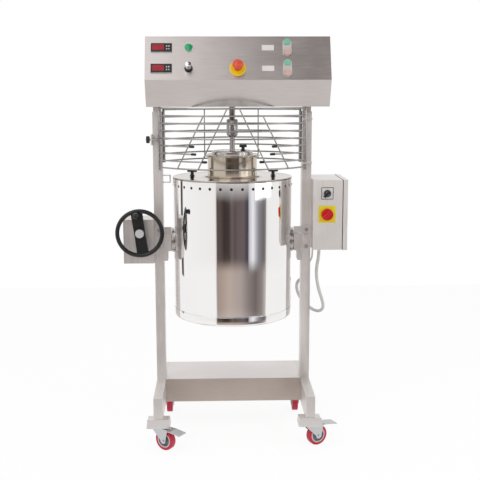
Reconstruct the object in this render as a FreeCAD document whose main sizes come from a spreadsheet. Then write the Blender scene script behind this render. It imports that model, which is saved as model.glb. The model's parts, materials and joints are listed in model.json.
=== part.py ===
# Cream cooker: a kettle that tilts between two posts, with a drive head above it.
#
# Millimetres. +Z is up, +X is to the right of someone who faces the machine, and
# the front looks along -Y. The origin lies on the floor under the middle of the
# whole machine. The kettle hangs on the line x = 0, y = kettle_y, which is also
# the line of the posts.

import FreeCAD, Part
import math
import os
import Sketcher
from FreeCAD import Placement, Rotation, Vector

doc = FreeCAD.newDocument("cream_cooker")

# Driving dimensions: name, value, what it is

DIMENSIONS = [
    ("kettle_y", "36.99", "kettle axis behind the middle of the machine"),
    ("post_gap", "540", "between the inner faces of the posts"),
    ("post_width", "35", "post, side to side"),
    ("post_depth", "60", "post, front to back"),
    ("post_wall", "2", "post tube wall"),
    ("post_top", "1267", "top of the post tubes"),
    ("neck_width", "29", "block between post and head, side to side"),
    ("neck_depth", "50", "block between post and head, front to back"),
    ("leg_front", "259", "front end of the legs before the kettle axis"),
    ("leg_back", "190", "back end of the legs behind the kettle axis"),
    ("leg_bottom", "113", "underside of the legs"),
    ("leg_top", "208", "top of the legs and of the deck"),
    ("deck_front", "36", "front edge of the deck before the kettle axis"),
    ("leg_wall", "3", "leg tube wall"),
    ("deck_wall", "2", "deck sheet"),
    ("deck_lip", "40", "inward lip under the deck"),
    ("mount_width", "82", "caster channel, side to side"),
    ("mount_depth", "70", "caster channel, front to back"),
    ("mount_drop", "24", "caster channel side walls, downwards"),
    ("mount_wall", "3", "caster channel sheet"),
    ("mount_flare", "4", "outward lean of the channel walls at their foot"),
    ("mount_cover", "12", "front plate of the caster channel over the foot of the leg"),
    ("caster_plate", "56", "caster top plate, square"),
    ("caster_sheet", "3", "caster plate and fork sheet"),
    ("wheel_radius", "40", "caster wheel"),
    ("wheel_width", "24", "caster wheel"),
    ("wheel_core", "27", "radius of the wheel core in its tyre"),
    ("wheel_edge", "4", "round of the tyre edge and rim of the core"),
    ("web_half", "3", "half the thickness of the wheel web"),
    ("wheel_boss", "10", "radius of the wheel boss"),
    ("wheel_trail", "32", "wheel axle behind the swivel axis"),
    ("swivel_x", "288", "swivel axis from the middle"),
    ("swivel_y", "224", "swivel axis before the kettle axis"),
    ("crown_height", "86", "top of the fork crown above the floor"),
    ("race_radius", "20", "swivel race"),
    ("fork_gap", "3", "between wheel and fork cheek"),
    ("axle_radius", "4", "caster axle"),
    ("swivel_left", "-34.8", "way the left caster trails, from +X"),
    ("swivel_right", "25.5", "way the right caster trails, from +X"),
    ("pedal_pivot", "48", "pedal pivot from the swivel axis"),
    ("pedal_reach", "112", "pedal tip from the swivel axis"),
    ("pedal_drop", "8", "tread tip below the pedal pivot"),
    ("pedal_width", "44", "brake pedal"),
    ("pedal_pin", "2", "brake pedal pin"),
    ("rear_wheel_x", "266", "rear wheel from the middle"),
    ("rear_wheel_y", "158", "rear axle behind the kettle axis"),
    ("running_gap", "0.3", "gap round a pin or shaft that turns"),
    ("head_bottom", "1287", "underside of the head"),
    ("head_width", "673", "head, side to side"),
    ("head_shift", "19", "middle of the head to the right of the kettle axis"),
    ("head_back", "110", "back of the head behind the kettle axis"),
    ("head_wall", "2", "head sheet"),
    ("chin_rise", "96", "fold of the head front above its underside"),
    ("chin_setback", "45", "underside edge behind the fold"),
    ("fold_front", "205", "fold of the head front before the kettle axis"),
    ("panel_length", "168.7", "control panel, from the fold to the top"),
    ("panel_lean", "22", "lean of the panel from upright, degrees"),
    ("panel_low", "44", "lower row of controls above the fold"),
    ("panel_high", "124", "upper row of controls above the fold"),
    ("meter_x", "-258", "temperature controllers"),
    ("meter_width", "76", "controller bezel"),
    ("meter_height", "34", "controller bezel"),
    ("meter_depth", "60", "controller body behind the panel"),
    ("bezel_rise", "4", "controller bezel before the panel"),
    ("dial_x", "-160", "green button and speed knob"),
    ("button_radius", "14.5", "green button"),
    ("button_rise", "6", "button before its ring"),
    ("ring_rise", "4", "button ring before the panel"),
    ("ring_wall", "2", "button ring"),
    ("speed_radius", "13", "speed knob"),
    ("speed_rise", "42", "speed knob before the panel"),
    ("stop_x", "17", "emergency stop"),
    ("stop_disc", "30", "radius of the yellow collar"),
    ("stop_radius", "20", "radius of the mushroom"),
    ("stop_rise", "48", "mushroom before the panel"),
    ("stop_stem", "11", "radius of the mushroom stem"),
    ("tag_x", "127", "blank legend tags"),
    ("tag_width", "44", "blank legend tag"),
    ("tag_height", "21", "blank legend tag"),
    ("tag_thick", "1", "blank legend tag"),
    ("pair_x", "197", "double pushbuttons"),
    ("pair_width", "32", "double pushbutton bezel"),
    ("pair_height", "66", "double pushbutton bezel"),
    ("pair_rise", "6", "double pushbutton bezel before the panel"),
    ("key_size", "20", "one key of a double pushbutton, square"),
    ("key_rise", "3", "start key before its bezel"),
    ("key_step", "20", "keys from the middle of the bezel"),
    ("key_stem", "5", "key stem radius"),
    ("motor_radius", "58", "drive motor"),
    ("motor_height", "120", "drive motor"),
    ("gear_width", "130", "gearbox, square"),
    ("gear_height", "84", "gearbox"),
    ("drive_radius", "12", "drive shaft"),
    ("fork_radius", "22", "coupling fork"),
    ("fork_top", "1238", "top of the coupling fork"),
    ("fork_bottom", "1168", "mouth of the coupling fork"),
    ("fork_taper", "6", "taper at the mouth of the fork"),
    ("fork_web", "14", "solid end of the coupling fork"),
    ("tongue_width", "12", "tongue in the fork, side to side"),
    ("tongue_depth", "20", "tongue in the fork, front to back"),
    ("tongue_gap", "0.4", "tongue to fork, each side"),
    ("tongue_end", "2", "tongue short of each end of the fork slot"),
    ("stir_radius", "10", "agitator shaft"),
    ("tilt_height", "768", "tilt axis above the floor"),
    ("jacket_radius", "232", "kettle jacket"),
    ("jacket_wall", "2", "kettle jacket"),
    ("jacket_top", "1012", "top of the jacket"),
    ("base_bottom", "473", "underside of the kettle"),
    ("base_height", "35", "kettle base pan"),
    ("base_round", "10", "edge of the kettle base pan"),
    ("groove_gap", "3", "groove between base pan and jacket"),
    ("bowl_radius", "205", "inside of the bowl"),
    ("bowl_wall", "3", "bowl"),
    ("bowl_shoulder", "640", "where the straight wall meets the dished bottom"),
    ("bowl_bottom", "540", "lowest point inside the bowl"),
    ("rim_thick", "3", "bowl rim"),
    ("lid_thick", "4", "kettle lid"),
    ("lid_gap", "0.3", "lid above the bowl rim"),
    ("lid_hem", "8", "rolled edge of the lid, outwards"),
    ("throat_radius", "96", "feed collar, outside"),
    ("throat_wall", "2", "feed collar"),
    ("throat_height", "80", "feed collar"),
    ("flange_width", "12", "feed collar flanges"),
    ("flange_thick", "3", "feed collar flanges"),
    ("clamp_size", "14", "clamp block on the collar flange"),
    ("cover_radius", "80", "raised middle of the collar cover"),
    ("cover_rise", "16", "raised middle of the collar cover"),
    ("cover_plate", "3", "collar cover plate"),
    ("cover_bore", "14", "radius of the shaft hole in the cover"),
    ("cover_knob_x", "42", "cover knob from the kettle axis"),
    ("knob_stem", "6", "knob stem"),
    ("knob_radius", "15", "cover knob head"),
    ("knob_height", "25", "cover knob"),
    ("knob_grip", "12", "star grip of a cover or lid knob, along its axis"),
    ("knob_washer", "10", "radius of the washer under a knob"),
    ("lid_knob_x", "157.5", "lid knobs from the kettle axis"),
    ("lid_knob_radius", "20", "lid knob head"),
    ("lid_knob_height", "28", "lid knob"),
    ("knob_lobes", "5", "lobes of a star knob"),
    ("lobe_radius", "6", "round of one lobe"),
    ("heater_radius", "5", "heating element tube"),
    ("heater_inner", "80", "smallest heating ring"),
    ("heater_step", "45", "between heating rings"),
    ("heater_drop", "35", "heating rings below the lowest point of the bowl"),
    ("bush_height", "16", "foot bearing of the agitator"),
    ("arm_reach", "186", "agitator arms from the shaft"),
    ("arm_width", "24", "agitator arm, radially"),
    ("arm_thick", "8", "agitator arm"),
    ("arm_top", "930", "top of the agitator arms"),
    ("cross_height", "840", "cross arm above the floor"),
    ("hub_radius", "18", "agitator hub"),
    ("hub_height", "36", "agitator hub at the cross arm"),
    ("hub_clear", "1.2", "agitator hub above its foot bearing"),
    ("scraper_gap", "2", "scraper to bowl wall"),
    ("scraper_thick", "10", "scraper blade"),
    ("trunnion_radius", "20", "trunnion"),
    ("trunnion_bore", "11", "cable bore of the right trunnion"),
    ("trunnion_flange", "48", "radius of the trunnion flange"),
    ("trunnion_gap", "1", "trunnion flange to bearing block"),
    ("block_width", "32", "bearing block, side to side"),
    ("block_depth", "90", "bearing block, front to back"),
    ("block_low", "38", "bearing block below the tilt axis"),
    ("block_high", "24", "bearing block above the tilt axis"),
    ("gusset_low", "79", "foot of the bearing gusset below the tilt axis"),
    ("plate_thick", "6", "bearing plate on the front of a post"),
    ("plate_low", "34", "bearing plate below the tilt axis"),
    ("plate_high", "56", "bearing plate above the tilt axis"),
    ("slot_height", "6", "slot over the bearing in its plate"),
    ("bolt_radius", "7.5", "bolt head over its corners"),
    ("bolt_inset", "12", "bolt from the edge of a bearing plate"),
    ("bolt_head", "6", "bolt head"),
    ("bolt_shank", "4", "bolt shank radius"),
    ("box_left", "423", "left side of the worm housing from the middle"),
    ("housing_depth", "120", "worm housing, front to back"),
    ("housing_drop", "83", "worm housing below the tilt axis"),
    ("housing_rise", "89", "worm housing above the tilt axis"),
    ("housing_wall", "4", "worm housing"),
    ("worm_x", "355", "worm axis to the left of the middle"),
    ("gear_module", "1.5", "module of worm and wheel"),
    ("gear_teeth", "40", "worm wheel"),
    ("pressure_angle", "20", "lean of the tooth flanks, degrees"),
    ("tooth_root", "1.2", "root below the pitch line, in modules"),
    ("tooth_tip", "0.9", "tip above the pitch line, in modules"),
    ("worm_pitch", "13.8", "pitch radius of the worm"),
    ("thread_share", "0.38", "thickness of tooth and thread over the pitch"),
    ("wheel_face", "12", "worm wheel, along its axis"),
    ("worm_length", "44", "threaded length of the worm"),
    ("worm_shaft_radius", "8", "worm shaft"),
    ("rim_radius", "85", "handwheel rim, to the middle of its section"),
    ("rim_section", "8", "radius of the rim section"),
    ("rim_front", "110", "rim plane before the kettle axis"),
    ("spoke_width", "46", "handwheel spoke plate"),
    ("spoke_thick", "9", "handwheel spoke plate"),
    ("spoke_lean", "8", "lean of the spoke plate from upright, degrees"),
    ("wheel_hub", "20", "handwheel hub radius"),
    ("handle_reach", "74", "crank handle from the hub"),
    ("handle_radius", "11", "crank handle"),
    ("handle_neck", "8", "radius of the thin end of the crank handle"),
    ("handle_length", "58", "crank handle"),
    ("handle_pin", "4", "crank handle pin"),
    ("wire_radius", "3", "guard rod"),
    ("bar_radius", "5", "guard end bar"),
    ("rib_radius", "2.5", "guard rib"),
    ("rib_sink", "1.5", "rib let into the rods that it crosses"),
    ("rest_radius", "8", "radius of the ring that the gate rests on"),
    ("gate_x", "279", "gate end bars from the middle"),
    ("gate_front", "45", "gate end bars before the kettle axis"),
    ("gate_bulge", "200", "gate rods before the kettle axis"),
    ("gate_low", "1058", "lowest gate rod"),
    ("gate_step", "27.9", "between gate rods"),
    ("gate_rods", "9", "rods in the gate"),
    ("rear_rods", "8", "rods in the rear guard"),
    ("bar_over", "4.2", "gate end bars past the top rod"),
    ("window_low", "100", "feed window in the second rod from below, from the middle"),
    ("window_mid", "140", "feed window in the third rod"),
    ("window_high", "147", "feed window in the fourth rod"),
    ("cap_length", "12", "cap on a cut rod"),
    ("inner_rib_top", "22", "inner rib at the top rod, from the middle"),
    ("inner_rib_foot", "130", "inner rib at the lowest rod, from the middle"),
    ("outer_rib_top", "109", "outer rib at the second rod, from the middle"),
    ("outer_rib_foot", "208", "outer rib at the lowest rod, from the middle"),
    ("back_bulge", "186", "rear rods behind the kettle axis"),
    ("back_rib", "109", "rear ribs from the middle"),
    ("back_foot", "20", "rear end bars behind the kettle axis"),
    ("back_low", "1076", "lowest rear rod"),
    ("back_step", "28.3", "between rear rods"),
    ("latch_height", "1162", "latch knob above the floor"),
    ("latch_radius", "14", "latch knob"),
    ("latch_pin", "4", "latch pin"),
    ("latch_gap", "0.5", "latch pin to the gate"),
    ("latch_grip", "15", "latch knob along its pin"),
    ("latch_stroke", "10", "latch knob travel"),
    ("lug_thick", "5", "lugs on the posts"),
    ("box_width", "112", "control box, out from the post"),
    ("box_front", "110", "control box before the kettle axis"),
    ("box_back", "130", "control box behind the kettle axis"),
    ("box_bottom", "743", "underside of the control box"),
    ("box_top", "1011", "top of the control box"),
    ("box_wall", "2", "control box sheet"),
    ("gasket", "3", "door gasket"),
    ("door_thick", "17", "door beyond its gasket"),
    ("door_lap", "1", "door past the box all round"),
    ("seal_width", "12", "door seal and return, inwards"),
    ("hinge_off", "12", "door hinge beyond the side of the box"),
    ("hinge_y", "142", "door hinge behind the kettle axis"),
    ("hinge_radius", "6", "door hinge knuckle"),
    ("hinge_pin", "3", "door hinge pin"),
    ("hinge_length", "34", "door hinge knuckle"),
    ("switch_x", "358", "switches on the control box"),
    ("main_height", "881", "main switch above the floor"),
    ("main_plate", "64", "main switch plate, square"),
    ("main_radius", "23", "main switch knob"),
    ("main_rise", "22", "main switch knob"),
    ("main_bar", "14", "raised bar of the main switch knob"),
    ("selector_above", "80", "selector above the main switch"),
    ("selector_plate", "46", "selector plate, square"),
    ("selector_radius", "15", "selector knob"),
    ("selector_rise", "18", "selector knob"),
    ("selector_bar", "9", "raised bar of the selector knob"),
    ("switch_plate", "3", "switch plate thickness"),
    ("stop_block_height", "1009", "kettle stop above the floor"),
    ("stop_block_reach", "30", "kettle stop from the post"),
    ("hose_radius", "6.5", "supply hose"),
    ("cable_radius", "3.5", "sensor cable"),
    ("hose_gland", "13", "hose gland"),
    ("cable_gland", "8", "cable gland"),
    ("gland_length", "18", "glands below the box"),
    ("hose_x", "345", "hose gland from the middle"),
    ("hose_y", "20", "hose gland behind the kettle axis"),
    ("cable_x", "324", "cable gland from the middle"),
    ("cable_y", "62", "cable gland behind the kettle axis"),
    ("relay_width", "45", "contactor, front to back of the box"),
    ("relay_height", "76", "contactor"),
    ("relay_depth", "78", "contactor, out from its rail"),
    ("relay_low", "900", "contactors above the floor"),
    ("strip_low", "836", "terminal strip above the floor"),
    ("strip_height", "30", "terminal strip"),
    ("strip_depth", "32", "terminal strip, out from its rail"),
]


class Size:
    """A length or angle with its number and the sheet expression that gives it."""

    def __init__(self, text, value):
        self.text = text
        self.value = value

    def __add__(self, other):
        other = as_size(other)
        return Size(f"({self.text} + {other.text})", self.value + other.value)

    def __sub__(self, other):
        other = as_size(other)
        return Size(f"({self.text} - {other.text})", self.value - other.value)

    def __mul__(self, other):
        other = as_size(other)
        return Size(f"({self.text} * {other.text})", self.value * other.value)

    def __truediv__(self, other):
        other = as_size(other)
        return Size(f"({self.text} / {other.text})", self.value / other.value)

    def __radd__(self, other):
        return as_size(other) + self

    def __rsub__(self, other):
        return as_size(other) - self

    def __rmul__(self, other):
        return as_size(other) * self

    def __rtruediv__(self, other):
        return as_size(other) / self

    def __neg__(self):
        return Size(f"(0 - {self.text})", -self.value)


def as_size(amount):
    """A plain number as a Size."""
    if isinstance(amount, Size):
        return amount
    if amount < 0:
        return Size(f"(0 - {-amount!r})", float(amount))
    return Size(repr(amount), float(amount))


def number(amount):
    """The number of a Size, or the number itself."""
    return as_size(amount).value


def sine(angle):
    return Size(f"sin({angle.text})", math.sin(math.radians(angle.value)))


def cosine(angle):
    return Size(f"cos({angle.text})", math.cos(math.radians(angle.value)))


def root(amount):
    return Size(f"sqrt({amount.text})", math.sqrt(amount.value))


def arc_tangent(up, along):
    """The angle in degrees whose tangent is up over along."""
    text = f"(atan({as_size(up).text} / {as_size(along).text}) / 1 deg)"
    return Size(text, math.degrees(math.atan(number(up) / number(along))))


class Sheet:
    """The named sizes, read as attributes."""


sheet = doc.addObject("Spreadsheet::Sheet", "Sizes")
size = Sheet()
for row, (name, value, meaning) in enumerate(DIMENSIONS, start=1):
    sheet.set(f"A{row}", meaning)
    sheet.set(f"B{row}", value)
    sheet.setAlias(f"B{row}", name)
    setattr(size, name, Size(f"Sizes.{name}", float(value)))
doc.recompute()

# Building blocks

TURNS = {
    "+X": Rotation(Vector(0, 1, 0), 90),
    "-X": Rotation(Vector(0, 1, 0), -90),
    "+Y": Rotation(Vector(1, 0, 0), -90),
    "-Y": Rotation(Vector(1, 0, 0), 90),
    "+Z": Rotation(),
    "-Z": Rotation(Vector(1, 0, 0), 180),
}


def bind(thing, prop, amount):
    """Set one property from the sheet, or to a plain number."""
    amount = as_size(amount)
    if "Sizes." in amount.text:
        thing.setExpression(prop, amount.text)


def place(thing, x=0, y=0, z=0, turn=None):
    """Put an object at x, y, z, with each coordinate bound to the sheet."""
    spot = Vector(number(x), number(y), number(z))
    thing.Placement = Placement(spot, turn or Rotation())
    bind(thing, "Placement.Base.x", x)
    bind(thing, "Placement.Base.y", y)
    bind(thing, "Placement.Base.z", z)
    return thing


def box(name, x, y, z):
    """A block from three (low, high) pairs."""
    block = doc.addObject("Part::Box", name)
    for prop, (low, high) in (("Length", x), ("Width", y), ("Height", z)):
        span = as_size(high) - low
        setattr(block, prop, span.value)
        bind(block, prop, span)
    return place(block, x[0], y[0], z[0])


def rod(name, radius, length, at, along="+Z"):
    """A round bar that starts at a point and runs along one axis."""
    bar = doc.addObject("Part::Cylinder", name)
    bar.Radius = number(radius)
    bar.Height = number(length)
    bind(bar, "Radius", radius)
    bind(bar, "Height", length)
    return place(bar, *at, turn=TURNS[along])


def cone(name, low, high, length, at, along="+Z"):
    """A round bar whose radius goes from low to high."""
    taper = doc.addObject("Part::Cone", name)
    for prop, amount in (("Radius1", low), ("Radius2", high), ("Height", length)):
        setattr(taper, prop, number(amount))
        bind(taper, prop, amount)
    return place(taper, *at, turn=TURNS[along])


def cut(name, base, *tools):
    """A base with one or more tools taken away."""
    result = doc.addObject("Part::Cut", name)
    result.Base = base
    result.Tool = tools[0] if len(tools) == 1 else fuse(name + "_tools", *tools)
    return result


def fuse(name, *pieces):
    """One solid from pieces that meet."""
    result = doc.addObject("Part::MultiFuse", name)
    result.Shapes = list(pieces)
    result.Refine = True
    return result


def group(name, *pieces):
    """Separate solids that share one node."""
    result = doc.addObject("Part::Compound", name)
    result.Links = list(pieces)
    return result


def mirrored(name, thing):
    """The same piece on the other side of the kettle axis."""
    twin = doc.addObject("Part::Mirroring", name)
    twin.Source = thing
    twin.Normal = Vector(1, 0, 0)
    return twin


class Arc:
    """A profile point that is reached by a round stretch about a centre."""

    def __init__(self, x, y, centre_x=None, centre_y=None):
        self.x = x
        self.y = y
        self.centre_x = centre_x
        self.centre_y = centre_y


def arc_centre(start, end, arc):
    """Centre of the circle through start and end, from its one known coordinate."""
    (ax, ay), (bx, by) = start, end
    if arc.centre_x is None:
        cy = number(arc.centre_y)
        cx = (bx * bx - ax * ax + (by - cy) ** 2 - (ay - cy) ** 2) / (2 * (bx - ax))
    else:
        cx = number(arc.centre_x)
        cy = (by * by - ay * ay + (bx - cx) ** 2 - (ax - cx) ** 2) / (2 * (by - ay))
    return cx, cy


def sketch_profile(body, name, plane, points):
    """A closed profile in which every corner is bound to the sheet."""
    sketch = body.newObject("Sketcher::SketchObject", name)
    face = [item for item in body.Origin.OriginFeatures if item.Role == plane][0]
    sketch.AttachmentSupport = [(face, "")]
    sketch.MapMode = "FlatFace"
    corners = [(p.x, p.y) if isinstance(p, Arc) else p for p in points]
    spots = [(number(x), number(y)) for x, y in corners]
    count = len(points)
    ends = []
    for index in range(count):
        start = spots[index]
        after = (index + 1) % count
        end = spots[after]
        if not isinstance(points[after], Arc):
            line = Part.LineSegment(Vector(*start, 0), Vector(*end, 0))
            sketch.addGeometry(line, False)
            ends.append((1, 2))
            continue
        cx, cy = arc_centre(start, end, points[after])
        radius = math.hypot(start[0] - cx, start[1] - cy)
        first = math.atan2(start[1] - cy, start[0] - cx)
        last = math.atan2(end[1] - cy, end[0] - cx)
        sweep = (last - first) % (2 * math.pi)
        circle = Part.Circle(Vector(cx, cy, 0), Vector(0, 0, 1), radius)
        if sweep <= math.pi + 1e-6:
            sketch.addGeometry(Part.ArcOfCircle(circle, first, first + sweep), False)
            ends.append((1, 2))
        else:
            sketch.addGeometry(Part.ArcOfCircle(circle, last, first), False)
            ends.append((2, 1))
    for index in range(count):
        after = (index + 1) % count
        joint = Sketcher.Constraint("Coincident", index, ends[index][1], after, ends[after][0])
        sketch.addConstraint(joint)
    for index, corner in enumerate(corners):
        for kind, amount in zip(("DistanceX", "DistanceY"), corner):
            fixed = Sketcher.Constraint(kind, -1, 1, index, ends[index][0], number(amount))
            which = sketch.addConstraint(fixed)
            bind(sketch, f"Constraints[{which}]", amount)
    for index in range(count):
        after = points[(index + 1) % count]
        if not isinstance(after, Arc):
            continue
        kind = "DistanceX" if after.centre_y is None else "DistanceY"
        amount = after.centre_x if after.centre_y is None else after.centre_y
        middle = Sketcher.Constraint(kind, -1, 1, index, 3, number(amount))
        which = sketch.addConstraint(middle)
        bind(sketch, f"Constraints[{which}]", amount)
    return sketch


def turned(name, points, at=(0, 0, 0), along="+Z"):
    """A round piece from a (radius, height) profile."""
    body = doc.addObject("PartDesign::Body", name)
    sketch = sketch_profile(body, name + "_profile", "XZ_Plane", points)
    turn = body.newObject("PartDesign::Revolution", name + "_turn")
    turn.Profile = sketch
    turn.ReferenceAxis = (sketch, ["V_Axis"])
    turn.Angle = 360
    body.Tip = turn
    return place(body, *at, turn=TURNS[along])


def extruded(name, plane, points, length, at=(0, 0, 0), turn=None):
    """A prism from a profile, spread evenly to both sides of its plane."""
    body = doc.addObject("PartDesign::Body", name)
    sketch = sketch_profile(body, name + "_profile", plane, points)
    pad = body.newObject("PartDesign::Pad", name + "_pad")
    pad.Profile = sketch
    pad.Midplane = True
    pad.Length = number(length)
    bind(pad, "Length", length)
    body.Tip = pad
    return place(body, *at, turn=turn)


def shaped(name, shape):
    """A piece whose shape is worked out here from the sheet's values."""
    feature = doc.addObject("Part::Feature", name)
    feature.Shape = shape
    return feature


nodes = []


def node(name, thing):
    """Name a finished piece for its file."""
    thing.Label = name
    nodes.append(thing)
    return thing


# Places that several pieces share

Y = size.kettle_y
post_inner = size.post_gap / 2
post_outer = post_inner + size.post_width
post_middle = post_inner + size.post_width / 2
tilt = size.tilt_height
SIDES = (("left", -1), ("right", 1))


def spread(side, near, far):
    """The x range from near to far on one side, lowest first."""
    return (near, far) if side > 0 else (-far, -near)


def trunnion_hole(name):
    """The bore for both trunnions, from the worm to the inside of the control box."""
    radius = size.trunnion_radius + size.running_gap
    reach = post_outer + size.trunnion_radius
    return rod(name, radius, reach * 2, (-reach, Y, tilt), "+X")


# Base: two legs, a deck between them and the channels for the casters

leg_inner = post_inner
leg_front = Y - size.leg_front
leg_back = Y + size.leg_back


def leg(name, side):
    """One leg: a closed box beam from front to back."""
    wall = size.leg_wall
    outside = box(name + "_outside", spread(side, leg_inner, post_outer),
                  (leg_front, leg_back), (size.leg_bottom, size.leg_top))
    inside = box(name + "_inside", spread(side, leg_inner + wall, post_outer - wall),
                 (leg_front + wall, leg_back - wall),
                 (size.leg_bottom + wall, size.leg_top - wall))
    return cut(name, outside, inside)


node("side_legs", group("side_legs", leg("leg_left", -1), leg("leg_right", 1)))

deck_front = Y - size.deck_front
deck_sheet = size.deck_wall
deck_profile = [
    (deck_front, size.leg_bottom),
    (deck_front, size.leg_top),
    (leg_back, size.leg_top),
    (leg_back, size.leg_bottom),
    (leg_back - size.deck_lip, size.leg_bottom),
    (leg_back - size.deck_lip, size.leg_bottom + deck_sheet),
    (leg_back - deck_sheet, size.leg_bottom + deck_sheet),
    (leg_back - deck_sheet, size.leg_top - deck_sheet),
    (deck_front + deck_sheet, size.leg_top - deck_sheet),
    (deck_front + deck_sheet, size.leg_bottom + deck_sheet),
    (deck_front + size.deck_lip, size.leg_bottom + deck_sheet),
    (deck_front + size.deck_lip, size.leg_bottom),
]
node("base_deck", extruded("base_deck", "YZ_Plane", deck_profile, size.post_gap))


def caster_channel(name, side):
    """A folded channel under the front of a leg, with a plate over its front."""
    half = size.mount_width / 2
    foot = half + size.mount_flare
    low = size.leg_bottom - size.mount_drop
    wall = size.mount_wall
    outline = [
        (-foot, low),
        (-half, size.leg_bottom),
        (half, size.leg_bottom),
        (foot, low),
        (foot - wall, low),
        (half - wall, size.leg_bottom - wall),
        (wall - half, size.leg_bottom - wall),
        (wall - foot, low),
    ]
    x = side * size.swivel_x
    folded = extruded(name + "_folded", "XZ_Plane", outline, size.mount_depth, (x, Y - size.swivel_y, 0))
    cover = box(name + "_cover", (x - half, x + half), (leg_front - wall, leg_front),
                (low, size.leg_bottom + size.mount_cover))
    return fuse(name, folded, cover)


plate_top = size.crown_height + size.caster_sheet * 2


def caster_seat(name, side):
    """The post, plate and race that join a front caster to its channel."""
    x = side * size.swivel_x
    y = Y - size.swivel_y
    half = size.caster_plate / 2
    plate = box(name + "_plate", (x - half, x + half), (y - half, y + half),
                (plate_top - size.caster_sheet, plate_top))
    neck = box(name + "_neck", (x - size.post_width / 2, x + size.post_width / 2),
               (y - half, y + half), (plate_top, size.leg_bottom - size.mount_wall))
    race = rod(name + "_race", size.race_radius, size.caster_sheet - size.running_gap,
               (x, y, size.crown_height + size.running_gap))
    pivot = rod(name + "_pivot", size.axle_radius, size.caster_sheet * 2,
                (x, y, size.crown_height - size.caster_sheet))
    return fuse(name, plate, neck, race, pivot)


cheek_inside = size.wheel_width / 2 + size.fork_gap
cheek_span = cheek_inside * 2 + size.caster_sheet * 2
axle_height = size.wheel_radius


def cheek_outline(trail, front):
    """Side view of a fork: crown above, round end about the axle."""
    end = size.axle_radius * 3
    return [
        (-size.race_radius, size.crown_height),
        (-size.race_radius, size.crown_height - size.caster_sheet * 2),
        (trail - end, axle_height),
        Arc(trail + end, axle_height, centre_y=axle_height),
        (front, size.crown_height - size.caster_sheet * 2),
        (front, size.crown_height),
    ]


def fork(name, trail, front):
    """A caster fork with its axle, about the swivel axis, trailing along +X."""
    blank = extruded(name + "_blank", "XZ_Plane", cheek_outline(trail, front), cheek_span)
    reach = size.pedal_reach
    hollow = box(name + "_hollow", (-reach, reach), (-cheek_inside, cheek_inside),
                 (0, size.crown_height - size.caster_sheet))
    mouth = box(name + "_mouth", (size.pedal_pivot - size.axle_radius * 2, reach),
                (-cheek_inside, cheek_inside), (axle_height, plate_top))
    bore = rod(name + "_bore", size.axle_radius + size.running_gap, size.caster_sheet * 3,
               (0, 0, size.crown_height - size.caster_sheet * 2))
    axle = rod(name + "_axle", size.axle_radius, cheek_span + size.axle_radius * 2,
               (trail, -(cheek_span / 2) - size.axle_radius, axle_height), "+Y")
    pin = rod(name + "_pin", size.pedal_pin, cheek_span,
              (size.pedal_pivot, -(cheek_span / 2), size.crown_height - size.axle_radius), "+Y")
    return fuse(name, cut(name + "_bent", blank, hollow, mouth, bore), axle, pin)


def tyre_and_core(name, at, along):
    """A caster wheel: a round-edged tyre on a core with its bore."""
    half = size.wheel_width / 2
    edge = size.wheel_edge
    tyre = turned(name + "_tyre", [
        (size.wheel_core, -half),
        (size.wheel_radius - edge, -half),
        Arc(size.wheel_radius, edge - half, centre_x=size.wheel_radius - edge),
        (size.wheel_radius, half - edge),
        Arc(size.wheel_radius - edge, half, centre_x=size.wheel_radius - edge),
        (size.wheel_core, half),
    ], at, along)
    bore = size.axle_radius + size.running_gap
    web = size.web_half
    lip = size.wheel_core - edge
    boss = size.wheel_boss
    core = turned(name + "_core", [
        (bore, -half),
        (boss, -half),
        (boss, -web),
        (lip, -web),
        (lip, -half),
        (size.wheel_core, -half),
        (size.wheel_core, half),
        (lip, half),
        (lip, web),
        (boss, web),
        (boss, half),
        (bore, half),
    ], at, along)
    return group(name, tyre, core)


def pedal(name):
    """A brake pedal: a bent tread plate on a pivot across the fork."""
    pivot_height = size.crown_height - size.axle_radius
    sheet_thick = size.caster_sheet
    start = size.pedal_pivot
    tip = size.pedal_reach
    drop = size.pedal_drop
    bend = start + size.wheel_radius / 2
    outline = [
        (start, pivot_height - sheet_thick / 2),
        (start, pivot_height + sheet_thick / 2),
        (bend, pivot_height + sheet_thick / 2),
        (tip, pivot_height - drop + sheet_thick),
        (tip, pivot_height - drop),
        (bend, pivot_height - sheet_thick / 2),
    ]
    tread = extruded(name + "_tread", "XZ_Plane", outline, size.pedal_width)
    notch = cheek_span + size.caster_sheet
    side = (size.pedal_width - notch) / 2
    shoulder = box(name + "_shoulder", (start - size.axle_radius, start + size.axle_radius * 2),
                   (-(notch / 2), notch / 2), (0, plate_top))
    low = -(cheek_inside - size.running_gap)
    eye = rod(name + "_eye", size.axle_radius, -low * 2, (start, low, pivot_height), "+Y")
    bridge = box(name + "_bridge", (start, start + size.axle_radius * 2), (low, -low),
                 (pivot_height - sheet_thick / 2, pivot_height + sheet_thick / 2))
    bore = rod(name + "_bore", size.pedal_pin + size.running_gap, -low * 4,
               (start, low * 2, pivot_height), "+Y")
    return cut(name, fuse(name + "_joined", cut(name + "_notched", tread, shoulder), eye, bridge), bore)


def swivelled(thing, side, angle):
    """Put a caster piece under its leg, turned the way the caster trails."""
    turn = Rotation(Vector(0, 0, 1), number(angle))
    place(thing, side * size.swivel_x, Y - size.swivel_y, 0, turn)
    thing.setExpression("Placement.Rotation.Angle", angle.text)
    return thing


rear_y = Y + size.rear_wheel_y


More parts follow.
